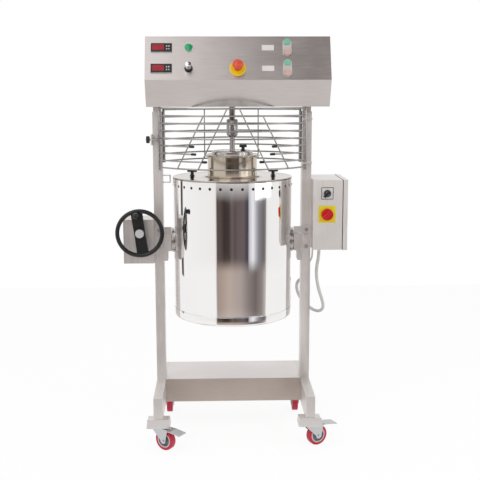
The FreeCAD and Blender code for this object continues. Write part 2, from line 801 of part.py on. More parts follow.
def rear_fork(name, side):
    """A fixed fork under the back end of a leg, wide plate on top."""
    x = side * size.rear_wheel_x
    half = size.caster_plate / 2
    top = size.leg_bottom
    cheeks = []
    for which, face in (("a", -1), ("b", 1)):
        near = cheek_inside
        low, high = (near, near + size.caster_sheet) if face > 0 else (
            -near - size.caster_sheet, -near)
        cheeks.append(box(f"{name}_cheek_{which}", (x + low, x + high),
                          (rear_y - size.race_radius, rear_y + size.race_radius),
                          (axle_height - size.axle_radius * 2, top - size.caster_sheet)))
    plate = box(name + "_plate", (x - half, x + half), (rear_y - half, rear_y + half),
                (top - size.caster_sheet, top))
    axle = rod(name + "_axle", size.axle_radius, cheek_span, (x - cheek_span / 2, rear_y, axle_height), "+X")
    return fuse(name, plate, axle, *cheeks)


node("caster_mounts", group(
    "caster_mounts",
    caster_channel("channel_left", -1), caster_channel("channel_right", 1),
    caster_seat("seat_left", -1), caster_seat("seat_right", 1),
    rear_fork("rear_fork_left", -1), rear_fork("rear_fork_right", 1),
))
FORK_FRONT = size.pedal_pivot + size.axle_radius
for word, side in SIDES:
    trail_angle = size.swivel_left if side < 0 else size.swivel_right
    built = fork(f"fork_{word}", size.wheel_trail, FORK_FRONT)
    node(f"front_fork_{word}", swivelled(built, side, trail_angle))
    wheel = tyre_and_core(f"wheel_{word}", (size.wheel_trail, 0, axle_height), "+Y")
    node(f"front_wheel_{word}", swivelled(wheel, side, trail_angle))
    node(f"brake_pedal_{word}", swivelled(pedal(f"pedal_{word}"), side, trail_angle))
    node(f"rear_wheel_{word}",
         tyre_and_core(f"back_wheel_{word}", (side * size.rear_wheel_x, rear_y, axle_height), "+X"))

# Posts: tubes that stand on the legs and carry the head

neck_top = size.head_bottom


def post(name, side):
    """A post tube with its end block, bored for the trunnion."""
    wall = size.post_wall
    half = size.post_depth / 2
    neck_half = size.neck_depth / 2
    outside = box(name + "_outside", spread(side, post_inner, post_outer),
                  (Y - half, Y + half), (size.leg_top, size.post_top))
    inside = box(name + "_inside", spread(side, post_inner + wall, post_outer - wall),
                 (Y - half + wall, Y + half - wall), (size.leg_top, size.post_top - wall))
    neck = box(name + "_neck",
               spread(side, post_middle - size.neck_width / 2, post_middle + size.neck_width / 2),
               (Y - neck_half, Y + neck_half), (size.post_top, neck_top))
    return outside, inside, neck


gate_y = Y - size.gate_front
post_front = Y - size.post_depth / 2
lug = size.lug_thick
latch_y = gate_y
latch_hole = size.latch_pin + size.running_gap

outside, inside, neck = post("post_left", -1)
latch_tab = box("latch_tab", (-post_outer - lug, -post_outer),
                (latch_y - size.bar_radius * 3, post_front + size.post_depth / 2),
                (size.latch_height - lug * 4, size.latch_height + lug * 4))
latch_bore = rod("latch_bore", latch_hole, size.post_gap / 2,
                 (-post_outer - size.post_gap / 4, latch_y, size.latch_height), "+X")
stop_block = box("stop_block", (-post_inner, size.stop_block_reach - post_inner),
                 (Y - size.neck_width / 2, Y + size.neck_width / 2),
                 (size.stop_block_height - size.neck_width / 2,
                  size.stop_block_height + size.neck_width / 2))
stop_hollow = box("stop_hollow", (-post_inner, size.stop_block_reach - post_inner - size.post_wall * 2),
                  (Y - size.neck_width, Y + size.neck_width),
                  (size.stop_block_height - size.neck_width / 2 + size.post_wall,
                   size.stop_block_height + size.neck_width / 2 - size.post_wall))
stop_bracket = cut("stop_bracket", stop_block, stop_hollow)
node("upright_left", fuse(
    "upright_left", cut("tube_left", outside, inside, trunnion_hole("post_bore_left")),
    neck, cut("latch_plate", latch_tab, latch_bore), stop_bracket))

gate_top = size.gate_low + size.gate_step * (size.gate_rods - 1)
bar_low = size.gate_low - size.bar_radius * 2
bar_high = gate_top + size.bar_over


def gate_lug(name, low):
    """A lug before the right post, bored for the end bar of the gate."""
    ear = box(name + "_ear", (post_inner, post_outer), (gate_y - size.bar_radius * 2, post_front),
              (low, low + lug))
    eye = rod(name + "_eye", size.bar_radius * 2, lug, (size.gate_x, gate_y, low))
    bore = rod(name + "_bore", size.bar_radius + size.running_gap, lug * 3,
               (size.gate_x, gate_y, low - lug))
    return cut(name, fuse(name + "_blank", ear, eye), bore)


outside, inside, neck = post("post_right", 1)
lug_low = gate_lug("lug_low", size.gate_low + size.gate_step / 2 - lug / 2)
lug_high = gate_lug("lug_high", gate_top - size.gate_step * 1.5 - lug / 2)
node("upright_right", fuse(
    "upright_right", cut("tube_right", outside, inside, trunnion_hole("post_bore_right")),
    neck, lug_low, lug_high))

# Head: a folded housing with a leaning control panel

head_left = size.head_shift - size.head_width / 2
fold_y = Y - size.fold_front
fold_z = size.head_bottom + size.chin_rise
head_top_y = fold_y + size.panel_length * sine(size.panel_lean)
head_top_z = fold_z + size.panel_length * cosine(size.panel_lean)
head_back = Y + size.head_back
chin_y = fold_y + size.chin_setback


def head_outline(wall):
    """Side view of the head, moved inwards by a wall, open at the back when walled."""
    half_lean = size.panel_lean / 2
    chin_lean = arc_tangent(size.chin_setback, size.chin_rise)
    back = head_back if number(wall) == 0 else head_back + size.head_wall
    turn_in = cosine(chin_lean / 2 + half_lean)
    skew = (size.panel_lean - chin_lean) / 2
    bottom_shift = wall * (1 - sine(chin_lean)) / cosine(chin_lean)
    top_shift = wall * (1 - sine(size.panel_lean)) / cosine(size.panel_lean)
    return [
        (chin_y + bottom_shift, size.head_bottom + wall),
        (fold_y + wall * cosine(skew) / turn_in, fold_z - wall * sine(skew) / turn_in),
        (head_top_y + top_shift, head_top_z - wall),
        (back, head_top_z - wall),
        (back, size.head_bottom + wall),
    ]


def on_panel(thing, x, up, out, along="+Z"):
    """Stand a piece on the control panel, at up along it and out from it."""
    lean = size.panel_lean
    y = fold_y + up * sine(lean) - out * cosine(lean)
    z = fold_z + up * cosine(lean) + out * sine(lean)
    place(thing, x, y, z, Rotation(Vector(1, 0, 0), 90 - lean.value))
    thing.setExpression("Placement.Rotation.Angle", f"90 - {lean.text}")
    return thing


def panel_block(name, x, up, width, height, low, high):
    """A block on the panel, centred on x and up, from low to high out of it."""
    block = doc.addObject("Part::Box", name)
    for prop, amount in (("Length", width), ("Width", height), ("Height", high - as_size(low))):
        setattr(block, prop, number(amount))
        bind(block, prop, amount)
    lean = size.panel_lean
    start = up - height / 2
    y = fold_y + start * sine(lean) - low * cosine(lean)
    z = fold_z + start * cosine(lean) + low * sine(lean)
    place(block, x - width / 2, y, z, Rotation(Vector(1, 0, 0), 90 - lean.value))
    block.setExpression("Placement.Rotation.Angle", f"90 - {lean.text}")
    return block


def panel_rod(name, x, up, radius, low, high):
    """A round bar square to the panel, from low to high out of it."""
    bar = rod(name, radius, high - as_size(low), (0, 0, 0))
    return on_panel(bar, x, up, as_size(low))


head_skin = extruded("head_skin", "YZ_Plane", head_outline(as_size(0)), size.head_width,
                     (size.head_shift, 0, 0))
head_room = extruded("head_room", "YZ_Plane", head_outline(size.head_wall),
                     size.head_width - size.head_wall * 2, (size.head_shift, 0, 0))
gap = size.running_gap
meter_inside = size.meter_height - size.bezel_rise
panel_holes = []
for row, up in (("low", size.panel_low), ("high", size.panel_high)):
    panel_holes.append(panel_block(f"meter_hole_{row}", size.meter_x, up,
                                   size.meter_width - size.bezel_rise + gap * 2,
                                   meter_inside + gap * 2, -size.meter_depth, size.meter_depth))
    for key, offset in (("start", size.key_step), ("stop", -size.key_step)):
        panel_holes.append(panel_rod(f"{key}_hole_{row}", size.pair_x, up + offset,
                                     size.key_stem + gap * 2, -size.key_size, size.key_size))
panel_holes.append(panel_rod("green_hole", size.dial_x, size.panel_high,
                             size.button_radius + gap * 2, -size.key_size, size.key_size))
panel_holes.append(panel_rod("speed_hole", size.dial_x, size.panel_low,
                             size.key_stem + gap * 2, -size.key_size, size.key_size))
panel_holes.append(panel_rod("estop_hole", size.stop_x, size.panel_low,
                             size.stop_stem + gap * 2, -size.key_size, size.key_size))
shaft_hole = rod("shaft_hole", size.drive_radius + size.head_wall, size.chin_rise,
                 (0, Y, size.head_bottom - size.head_wall * 2))
node("head_housing", cut("head_housing", head_skin, head_room, shaft_hole, *panel_holes))

cover_inset = size.head_wall
node("head_rear_cover", box(
    "head_rear_cover",
    (head_left + size.head_wall + gap, head_left + size.head_width - size.head_wall - gap),
    (head_back - cover_inset, head_back),
    (size.head_bottom + size.head_wall + gap, head_top_z - size.head_wall - gap)))

# Controls on the panel

meters = []
for row, up in (("low", size.panel_low), ("high", size.panel_high)):
    bezel = panel_block(f"bezel_{row}", size.meter_x, up, size.meter_width, size.meter_height,
                        as_size(0), size.bezel_rise)
    body = panel_block(f"meter_{row}", size.meter_x, up, size.meter_width - size.bezel_rise,
                       meter_inside, -size.meter_depth, size.bezel_rise / 2)
    meters.append(fuse(f"controller_{row}", bezel, body))
node("temperature_controllers", group("temperature_controllers", *meters))


node("green_button", fuse(
    "green_button",
    panel_rod("green_cap", size.dial_x, size.panel_high, size.button_radius - gap,
              size.ring_rise / 2, size.button_rise),
    panel_rod("green_stem", size.dial_x, size.panel_high, size.key_stem, -size.key_size,
              size.ring_rise)))


def knob_shape(lobes, radius, lobe, height):
    """A star grip: round lobes about a core, drawn up from z = 0."""
    core = Part.makeCylinder(radius - lobe, height)
    arms = []
    for index in range(int(lobes)):
        angle = 2 * math.pi * index / int(lobes)
        spot = Vector((radius - lobe) * math.cos(angle), (radius - lobe) * math.sin(angle), 0)
        arms.append(Part.makeCylinder(lobe, height, spot))
    return core.multiFuse(arms).removeSplitter()


speed_profile = [
    (0, size.ring_rise),
    (size.speed_radius, size.ring_rise),
    (size.speed_radius, size.speed_rise - size.ring_rise),
    (size.speed_radius - size.ring_rise / 2, size.speed_rise),
    (0, size.speed_rise),
]
speed_grip = on_panel(turned("speed_grip", speed_profile), size.dial_x, size.panel_low, as_size(0))
node("speed_knob", fuse("speed_knob", speed_grip, panel_rod(
    "speed_stem", size.dial_x, size.panel_low, size.key_stem, -size.key_size, size.ring_rise * 2)))

stop_profile = [
    (0, as_size(0)),
    (size.stop_stem, as_size(0)),
    (size.stop_stem, size.stop_rise - size.stop_stem - size.key_rise),
    (size.stop_radius - size.key_rise, size.stop_rise - size.stop_stem - size.key_rise),
    (size.stop_radius, size.stop_rise - size.stop_stem),
    Arc(0, size.stop_rise, centre_x=as_size(0)),
]
stop_cap = on_panel(turned("stop_cap", stop_profile), size.stop_x, size.panel_low, as_size(0))
node("estop_button", fuse("estop_button", stop_cap, panel_rod(
    "stop_rod", size.stop_x, size.panel_low, size.key_stem, -size.key_size,
    size.ring_rise + size.key_rise * 2)))

collar_profile = [
    (size.stop_stem + gap, as_size(0)),
    (size.stop_disc, as_size(0)),
    (size.stop_disc, size.ring_rise / 2),
    (size.stop_disc - size.ring_rise, size.ring_rise),
    (size.stop_stem + gap, size.ring_rise),
]
node("estop_collar", on_panel(turned("estop_collar", collar_profile),
                              size.stop_x, size.panel_low, as_size(0)))

fittings = []
ring_profile = [
    (size.button_radius, as_size(0)),
    (size.button_radius + size.ring_wall, as_size(0)),
    (size.button_radius + size.ring_wall, size.ring_rise / 2),
    (size.button_radius + size.ring_wall / 2, size.ring_rise),
    (size.button_radius, size.ring_rise),
]
fittings.append(on_panel(turned("green_ring", ring_profile), size.dial_x, size.panel_high, as_size(0)))
washer = panel_rod("speed_washer", size.dial_x, size.panel_low, size.speed_radius + size.ring_wall,
                   as_size(0), size.ring_rise / 2)
washer_bore = panel_rod("speed_washer_bore", size.dial_x, size.panel_low, size.key_stem + gap,
                        -size.ring_rise, size.ring_rise * 2)
fittings.append(cut("speed_base", washer, washer_bore))
for row, up in (("low", size.panel_low), ("high", size.panel_high)):
    fittings.append(panel_block(f"tag_{row}", size.tag_x, up, size.tag_width, size.tag_height,
                                as_size(0), size.tag_thick))
    half = (size.pair_height - size.pair_width) / 2
    straight = panel_block(f"pair_{row}_middle", size.pair_x, up, size.pair_width, half * 2,
                           as_size(0), size.pair_rise)
    ends = [panel_rod(f"pair_{row}_{end}", size.pair_x, up + half * way, size.pair_width / 2,
                      as_size(0), size.pair_rise) for end, way in (("top", 1), ("foot", -1))]
    wells = [panel_block(f"pair_{row}_well_{end}", size.pair_x, up + size.key_step * way,
                         size.key_size + gap * 2, size.key_size + gap * 2,
                         size.tag_thick, size.pair_rise * 2) for end, way in (("top", 1), ("foot", -1))]
    bores = [panel_rod(f"pair_{row}_bore_{end}", size.pair_x, up + size.key_step * way,
                       size.key_stem + gap, -size.pair_rise, size.pair_rise)
             for end, way in (("top", 1), ("foot", -1))]
    fittings.append(cut(f"pair_{row}", fuse(f"pair_{row}_blank", straight, *ends), *wells, *bores))
node("panel_fittings", group("panel_fittings", *fittings))

for row, word, up in (("high", "upper", size.panel_high), ("low", "lower", size.panel_low)):
    for key, way in (("start", 1), ("stop", -1)):
        centre = up + size.key_step * way
        cap = panel_block(f"{key}_cap_{row}", size.pair_x, centre, size.key_size, size.key_size,
                          size.pair_rise / 2 + size.tag_thick, size.pair_rise + size.key_rise)
        stem = panel_rod(f"{key}_stem_{row}", size.pair_x, centre, size.key_stem, -size.key_size,
                         size.pair_rise)
        node(f"{key}_button_{word}", fuse(f"{key}_button_{word}", cap, stem))

# Drive: motor and gearbox in the head, shaft and fork below it

gear_floor = size.head_bottom + size.head_wall
half = size.gear_width / 2
gearbox = box("gearbox", (-half, half), (Y - half, Y + half), (gear_floor, gear_floor + size.gear_height))
gear_bore = rod("gear_bore", size.drive_radius + gap, size.gear_height / 2 + size.head_wall * 2,
                (0, Y, gear_floor - size.head_wall * 2))
motor = rod("motor", size.motor_radius, size.motor_height, (0, Y, gear_floor + size.gear_height))
node("drive_motor", fuse("drive_motor", cut("gear_case", gearbox, gear_bore), motor))

fork_roof = size.fork_top - size.fork_web
fork_end = turned("fork_end", [
    (0, size.fork_bottom),
    (size.fork_radius - size.fork_taper, size.fork_bottom),
    (size.fork_radius, size.fork_bottom + size.fork_taper * 2),
    (size.fork_radius, size.fork_top - size.fork_taper / 2),
    (size.fork_radius - size.fork_taper / 2, size.fork_top),
    (0, size.fork_top),
], (0, Y, 0))
slot_half = size.tongue_width / 2 + size.tongue_gap
fork_slot = box("fork_slot", (-slot_half, slot_half), (Y - size.fork_radius * 2, Y + size.fork_radius * 2),
                (size.fork_bottom - size.fork_web, fork_roof))
drive_bar = rod("drive_bar", size.drive_radius, gear_floor + size.gear_height / 2 - size.fork_top,
                (0, Y, size.fork_top))
node("drive_shaft", fuse("drive_shaft", cut("drive_fork", fork_end, fork_slot), drive_bar))

# Kettle: base pan, jacket, bowl and heating rings about the kettle axis

AXIS = (0, Y, 0)
wall = size.jacket_wall
pan_top = size.base_bottom + size.base_height
jacket_foot = pan_top + size.groove_gap
step = size.base_round
inner = size.jacket_radius - wall
pan_lip = inner - gap
node("kettle_base", turned("kettle_base", [
    (0, size.base_bottom),
    (size.jacket_radius - step, size.base_bottom),
    Arc(size.jacket_radius, size.base_bottom + step, centre_x=size.jacket_radius - step),
    (size.jacket_radius, pan_top),
    (pan_lip, pan_top),
    (pan_lip, jacket_foot + step),
    (pan_lip - wall, jacket_foot + step),
    (pan_lip - wall, size.base_bottom + step),
    Arc(size.jacket_radius - step, size.base_bottom + wall, centre_x=size.jacket_radius - step),
    (0, size.base_bottom + wall),
], AXIS))

shelf = size.bowl_radius + size.bowl_wall + gap
node("kettle_jacket", turned("kettle_jacket", [
    (inner, jacket_foot),
    (size.jacket_radius, jacket_foot),
    (size.jacket_radius, size.jacket_top),
    (shelf, size.jacket_top),
    (shelf, size.jacket_top - wall),
    (inner, size.jacket_top - wall),
], AXIS))

skin = size.bowl_wall
rim_top = size.jacket_top + size.rim_thick
dish = size.bowl_shoulder - size.bowl_bottom
dish_radius = (size.bowl_radius * size.bowl_radius + dish * dish) / (dish * 2)
dish_centre = size.bowl_bottom + dish_radius
outer_dish = dish_radius + skin
outer_bowl = size.bowl_radius + skin
outer_shoulder = dish_centre - root(outer_dish * outer_dish - outer_bowl * outer_bowl)
bush_top = size.bowl_bottom + size.bush_height
bush_outer = size.stir_radius * 2
pivot = size.stir_radius + gap
bush_seat = dish_centre - root(dish_radius * dish_radius - bush_outer * bush_outer)
node("kettle_bowl", turned("kettle_bowl", [
    (0, dish_centre - outer_dish),
    Arc(outer_bowl, outer_shoulder, centre_x=as_size(0)),
    (outer_bowl, size.jacket_top),
    (size.jacket_radius, size.jacket_top),
    (size.jacket_radius, rim_top),
    (size.bowl_radius, rim_top),
    (size.bowl_radius, size.bowl_shoulder),
    Arc(bush_outer, bush_seat, centre_x=as_size(0)),
    (bush_outer, bush_top),
    (pivot, bush_top),
    (pivot, size.bowl_bottom + skin),
    (0, size.bowl_bottom + skin),
], AXIS))

heater_level = size.bowl_bottom - size.heater_drop
rings = []
for index in range(3):
    ring = doc.addObject("Part::Torus", f"heating_ring_{index + 1}")
    ring.Radius1 = number(size.heater_inner + size.heater_step * index)
    ring.Radius2 = number(size.heater_radius)
    bind(ring, "Radius1", size.heater_inner + size.heater_step * index)
    bind(ring, "Radius2", size.heater_radius)
    rings.append(place(ring, 0, Y, heater_level))
arm_half = size.heater_inner + size.heater_step * 2 + size.heater_radius
carrier = box("heating_carrier", (-arm_half, arm_half), (Y - size.heater_radius, Y + size.heater_radius),
              (size.base_bottom + wall, heater_level - size.heater_radius / 2))
node("heating_elements", fuse("heating_elements", carrier, *rings))

# Lid, feed collar and their knobs

lid_low = rim_top + size.lid_gap
lid_top = lid_low + size.lid_thick
throat_inside = size.throat_radius - size.throat_wall
hem = size.lid_hem
half_lid = size.lid_thick / 2
lid_disc = turned("lid_disc", [
    (throat_inside, lid_low),
    (size.jacket_radius - half_lid, lid_low),
    Arc(size.jacket_radius - half_lid, lid_top, centre_x=size.jacket_radius - half_lid),
    (size.jacket_radius - hem, lid_top),
    (size.jacket_radius - hem - half_lid, lid_top - half_lid / 2),
    (size.throat_radius + size.flange_width * 2, lid_top - half_lid / 2),
    (size.throat_radius + size.flange_width * 2 - half_lid, lid_top),
    (throat_inside, lid_top),
], AXIS)
stud_holes = [rod(f"stud_hole_{word}", size.knob_stem + gap, size.lid_thick * 3,
                  (side * size.lid_knob_x, Y, lid_low - size.lid_thick)) for word, side in SIDES]
node("kettle_lid", cut("kettle_lid", lid_disc, *stud_holes))

throat_top = lid_top + size.throat_height
flange_outer = size.throat_radius + size.flange_width
thick = size.flange_thick
throat = turned("throat", [
    (throat_inside, lid_top),
    (flange_outer, lid_top),
    (flange_outer, lid_top + thick),
    (size.throat_radius, lid_top + thick),
    (size.throat_radius, throat_top - thick),
    (flange_outer, throat_top - thick),
    (flange_outer, throat_top),
    (throat_inside, throat_top),
], AXIS)
clamps = []
for word, side in SIDES:
    near = size.throat_radius + size.flange_width / 2
    clamps.append(box(f"collar_clamp_{word}", spread(side, near, near + size.clamp_size),
                      (Y - size.clamp_size / 2, Y + size.clamp_size / 2),
                      (throat_top - thick * 3, throat_top - thick)))
node("lid_collar", fuse("lid_collar", throat, *clamps))


def star_knob(name, x, low, radius, height):
    """A star grip on a round stem, standing on a washer."""
    grip = number(size.knob_grip)
    shape = knob_shape(number(size.knob_lobes), number(radius), number(size.lobe_radius), grip)
    shape.translate(Vector(0, 0, number(height) - grip))
    washer = Part.makeCylinder(number(size.knob_washer), number(size.flange_thick))
    stem = Part.makeCylinder(number(size.knob_stem), number(height) - grip / 2)
    star = shaped(name, shape.multiFuse([washer, stem]).removeSplitter())
    return place(star, x, Y, low)


cover_base = throat_top + gap
cover_top = cover_base + size.cover_plate + size.cover_rise
cover_disc = turned("cover_disc", [
    (size.cover_bore, cover_base),
    (throat_inside + size.flange_width, cover_base),
    (throat_inside + size.flange_width, cover_base + size.cover_plate),
    (size.cover_radius, cover_base + size.cover_plate),
    (size.cover_radius, cover_top - size.lobe_radius),
    Arc(size.cover_radius - size.lobe_radius, cover_top, centre_x=size.cover_radius - size.lobe_radius),
    (size.cover_bore, cover_top),
], AXIS)
node("collar_cover", fuse("collar_cover", cover_disc, star_knob(
    "cover_knob", size.cover_knob_x, cover_top - thick / 2, size.knob_radius, size.knob_height)))
for word, side in SIDES:
    grip = star_knob(f"lid_grip_{word}", side * size.lid_knob_x, lid_top + gap,
                     size.lid_knob_radius, size.lid_knob_height)
    stud = rod(f"lid_stud_{word}", size.knob_stem, size.lid_thick + size.lid_gap + gap * 2,
               (side * size.lid_knob_x, Y, rim_top + gap))
    node(f"lid_knob_{word}", fuse(f"lid_knob_{word}", grip, stud))

# Agitator: shaft, anchor frame and scrapers

tongue_low = size.fork_bottom - size.tongue_end
tongue_top = fork_roof - size.tongue_end
hub_low = bush_top + size.hub_clear
stir_bar = rod("stir_bar", size.stir_radius, tongue_low - size.bowl_bottom - skin - gap,
               (0, Y, size.bowl_bottom + skin + gap))
tongue = box("tongue", (-size.tongue_width / 2, size.tongue_width / 2),
             (Y - size.tongue_depth / 2, Y + size.tongue_depth / 2), (tongue_low - thick, tongue_top))
tongue_round = rod("tongue_round", size.stir_radius, tongue_top - tongue_low + thick * 2,
                   (0, Y, tongue_low - thick))
trimmed = doc.addObject("Part::Common", "tongue_trimmed")
trimmed.Base = tongue
trimmed.Tool = tongue_round
node("agitator_shaft", fuse("agitator_shaft", stir_bar, trimmed))

blade_outer = size.bowl_radius - size.scraper_gap
blade_inner = size.arm_reach
arm_inner = size.arm_reach - size.arm_width
sweep_gap = dish_radius - size.scraper_gap
arm_dish = dish_radius - (size.bowl_radius - size.arm_reach)
arm_fold = dish_centre - root(arm_dish * arm_dish - size.arm_reach * size.arm_reach)
arm_inside = arm_dish - size.arm_width
inside_fold = dish_centre - root(arm_inside * arm_inside - arm_inner * arm_inner)
hub_side = size.hub_radius - thick
anchor_profile = [
    (hub_side, dish_centre - root(arm_dish * arm_dish - hub_side * hub_side)),
    Arc(size.arm_reach, arm_fold, centre_x=as_size(0)),
    (size.arm_reach, size.arm_top),
    (arm_inner, size.arm_top),
    (arm_inner, size.cross_height + size.arm_width),
    (hub_side, size.cross_height + size.arm_width),
    (hub_side, size.cross_height),
    (arm_inner, size.cross_height),
    (arm_inner, inside_fold),
    Arc(hub_side, dish_centre - root(arm_inside * arm_inside - hub_side * hub_side), centre_x=as_size(0)),
]
anchor = extruded("anchor_arm", "XZ_Plane", anchor_profile, size.arm_thick, AXIS)
anchor_twin = mirrored("anchor_arm_twin", anchor)
hub_foot = rod("hub_foot", size.hub_radius, size.arm_width + size.bush_height, (0, Y, hub_low))
hub_cross = rod("hub_cross", size.hub_radius, size.hub_height,
                (0, Y, size.cross_height + size.arm_width / 2 - size.hub_height / 2))
hub_bore = rod("hub_bore", size.stir_radius, size.tilt_height, (0, Y, size.bowl_bottom))
node("agitator_frame", cut("agitator_frame", fuse(
    "agitator_blank", anchor, anchor_twin, hub_foot, hub_cross), hub_bore))

blade_fold = dish_centre - root(sweep_gap * sweep_gap - blade_outer * blade_outer)
blade_profile = [
    (blade_inner, arm_fold),
    (blade_outer, blade_fold + size.scraper_gap),
    (blade_outer, size.arm_top + size.arm_thick),
    (blade_inner - size.arm_thick, size.arm_top + size.arm_thick),
    (blade_inner - size.arm_thick, size.arm_top),
    (blade_inner, size.arm_top),
]
blade = extruded("blade_right", "XZ_Plane", blade_profile, size.scraper_thick, AXIS)
node("scraper_blades", group("scraper_blades", blade, mirrored("blade_left", blade)))

# Trunnions: flanged stub shafts on the sides of the jacket

flange_face = post_inner - size.block_width - size.trunnion_gap
worm_x = -size.worm_x
trunnion_end_left = size.worm_x + size.wheel_face
trunnion_end_right = post_outer + size.box_wall * 4
for word, side in SIDES:
    end = trunnion_end_left if side < 0 else trunnion_end_right
    along = "-X" if side < 0 else "+X"
    start = size.jacket_radius - size.trunnion_flange / 2
    flange = rod(f"trunnion_flange_{word}", size.trunnion_flange, flange_face - start,
                 (side * start, Y, tilt), along)
    stub = rod(f"trunnion_stub_{word}", size.trunnion_radius, end - start,
               (side * start, Y, tilt), along)
    around = rod(f"trunnion_seat_{word}", size.jacket_radius, size.trunnion_flange * 4,
                 (0, Y, tilt - size.trunnion_flange * 2))
    blank = fuse(f"trunnion_blank_{word}", flange, stub)
    if side > 0:
        bore = rod("trunnion_bore", size.trunnion_bore, size.box_left, (0, Y, tilt), "+X")
        node("trunnion_right", cut("trunnion_right", blank, around, bore))
    else:
        node("trunnion_left", cut("trunnion_left", blank, around))

# Bearing blocks, with their front plates and gussets

front_reach = size.post_depth / 2 + size.plate_thick
bearings = []
for word, side in SIDES:
    near = post_inner - size.block_width
    body = box(f"bearing_body_{word}", spread(side, near, post_inner),
               (Y - size.block_depth / 2, Y + size.block_depth / 2),
               (tilt - size.block_low, tilt + size.block_high))
    foot = box(f"bearing_foot_{word}", spread(side, post_inner - size.block_width / 2, post_inner),
               (Y - size.block_depth / 3, Y + size.block_depth / 3),
               (tilt - size.gusset_low, tilt - size.block_low))
    plate = box(f"bearing_plate_{word}", spread(side, near, post_outer),
                (Y - front_reach, Y - size.post_depth / 2),
                (tilt - size.plate_low, tilt + size.plate_high))
    slot = box(f"bearing_slot_{word}", spread(side, post_middle - size.bolt_shank * 2,
                                              post_middle + size.bolt_shank * 2),
               (Y - front_reach * 2, Y - size.post_depth / 4),
               (tilt + size.block_high, tilt + size.block_high + size.slot_height))
    bore = rod(f"bearing_bore_{word}", size.trunnion_radius + gap, size.post_gap,
               (-post_inner, Y, tilt), "+X")
    bearings.append(cut(f"bearing_{word}", fuse(f"bearing_blank_{word}", body, foot, plate), slot, bore))
node("bearing_blocks", group("bearing_blocks", *bearings))


def hex_head(name, x, y, z, along):
    """A hexagon bolt head that stands off a face."""
    head = doc.addObject("Part::Prism", name)
    head.Polygon = 6
    head.Circumradius = number(size.bolt_radius)
    head.Height = number(size.bolt_head)
    bind(head, "Circumradius", size.bolt_radius)
    bind(head, "Height", size.bolt_head)
    return place(head, x, y, z, TURNS[along])


bolts = []
for word, side in SIDES:
    for mark, offset in (("high", size.plate_high - size.bolt_inset),
                         ("low", size.bolt_inset - size.plate_low)):
        bolts.append(hex_head(f"plate_bolt_{word}_{mark}", side * post_middle, Y - front_reach,
                              tilt + offset, "-Y"))
    for mark, offset in (("front", size.bolt_inset - size.post_depth / 2),
                         ("back", size.block_depth / 2 - size.bolt_inset)):
        bolts.append(hex_head(f"block_bolt_{word}_{mark}", side * (post_inner - size.block_width / 2),
                              Y + offset, tilt + size.block_high, "+Z"))
node("frame_bolts", group("frame_bolts", *bolts))

# Worm gear in its housing on the left post

case = size.housing_wall
house_left = -size.box_left
house_right = -post_outer
house_front = Y - size.housing_depth / 2
house_back = Y + size.housing_depth / 2
house_bottom = tilt - size.housing_drop
house_top = tilt + size.housing_rise
worm_z = tilt + size.gear_module * size.gear_teeth / 2 + size.worm_pitch
shell = box("worm_shell", (house_left, house_right), (house_front, house_back),
            (house_bottom, house_top))
room = box("worm_room", (house_left + case, house_right - case), (house_front + case, house_back - case),
           (house_bottom + case, house_top - case))
shaft_way = rod("worm_way", size.worm_shaft_radius + gap, size.housing_depth - case,
                (worm_x, house_front - case, worm_z), "+Y")
boss_front = rod("worm_boss_front", size.worm_shaft_radius * 2, case * 3,
                 (worm_x, house_front, worm_z), "+Y")
boss_back = rod("worm_boss_back", size.worm_shaft_radius * 2, case * 3,
                (worm_x, house_back - case * 3, worm_z), "+Y")
node("worm_housing", cut(
    "worm_housing", fuse("worm_case", cut("worm_box", shell, room), boss_front, boss_back),
    shaft_way, trunnion_hole("housing_bore")))

module = number(size.gear_module)
teeth = int(number(size.gear_teeth))
pitch = math.pi * module
thread_half = pitch * number(size.thread_share) / 2
flank = math.tan(math.radians(number(size.pressure_angle)))


def tooth_section(root_line, tip_line, pitch_line):
    """A rack tooth across its depth: half widths at its root and its tip."""
    root_half = thread_half + abs(pitch_line - root_line) * flank
    tip_half = thread_half - abs(tip_line - pitch_line) * flank
    return root_half, tip_half


def worm_wheel_shape():
    """A wheel of slanted teeth on a bored disc, about the X axis."""
    pitch_radius = module * teeth / 2
    root_radius = pitch_radius - module * number(size.tooth_root)
    tip_radius = pitch_radius + module * number(size.tooth_tip)
    face = number(size.wheel_face)
    lead_tangent = module / (2 * number(size.worm_pitch))
    root_half, tip_half = tooth_section(root_radius, tip_radius, pitch_radius)
    bite = module / 4
    corners = [
        Vector(-face / 2, -root_half, root_radius - bite),
        Vector(-face / 2, -tip_half, tip_radius),
        Vector(-face / 2, tip_half, tip_radius),
        Vector(-face / 2, root_half, root_radius - bite),
    ]
    slant = face / 2 * lead_tangent
    outline = Part.makePolygon([point + Vector(0, slant, 0) for point in corners + corners[:1]])
    tooth = Part.Face(outline).extrude(Vector(face, -2 * slant, 0))
    disc = Part.makeCylinder(root_radius, face, Vector(-face / 2, 0, 0), Vector(1, 0, 0))
    ring = []
    for index in range(teeth):
        copy = tooth.copy()
        copy.rotate(Vector(0, 0, 0), Vector(1, 0, 0), 360 * (index + 0.5) / teeth)
        ring.append(copy)
    wheel = disc.multiFuse(ring)
    hub = Part.makeCylinder(number(size.trunnion_radius), face * 2, Vector(-face, 0, 0), Vector(1, 0, 0))
    return wheel.cut(hub)


node("worm_wheel", place(shaped("worm_wheel", worm_wheel_shape()), worm_x, Y, tilt))


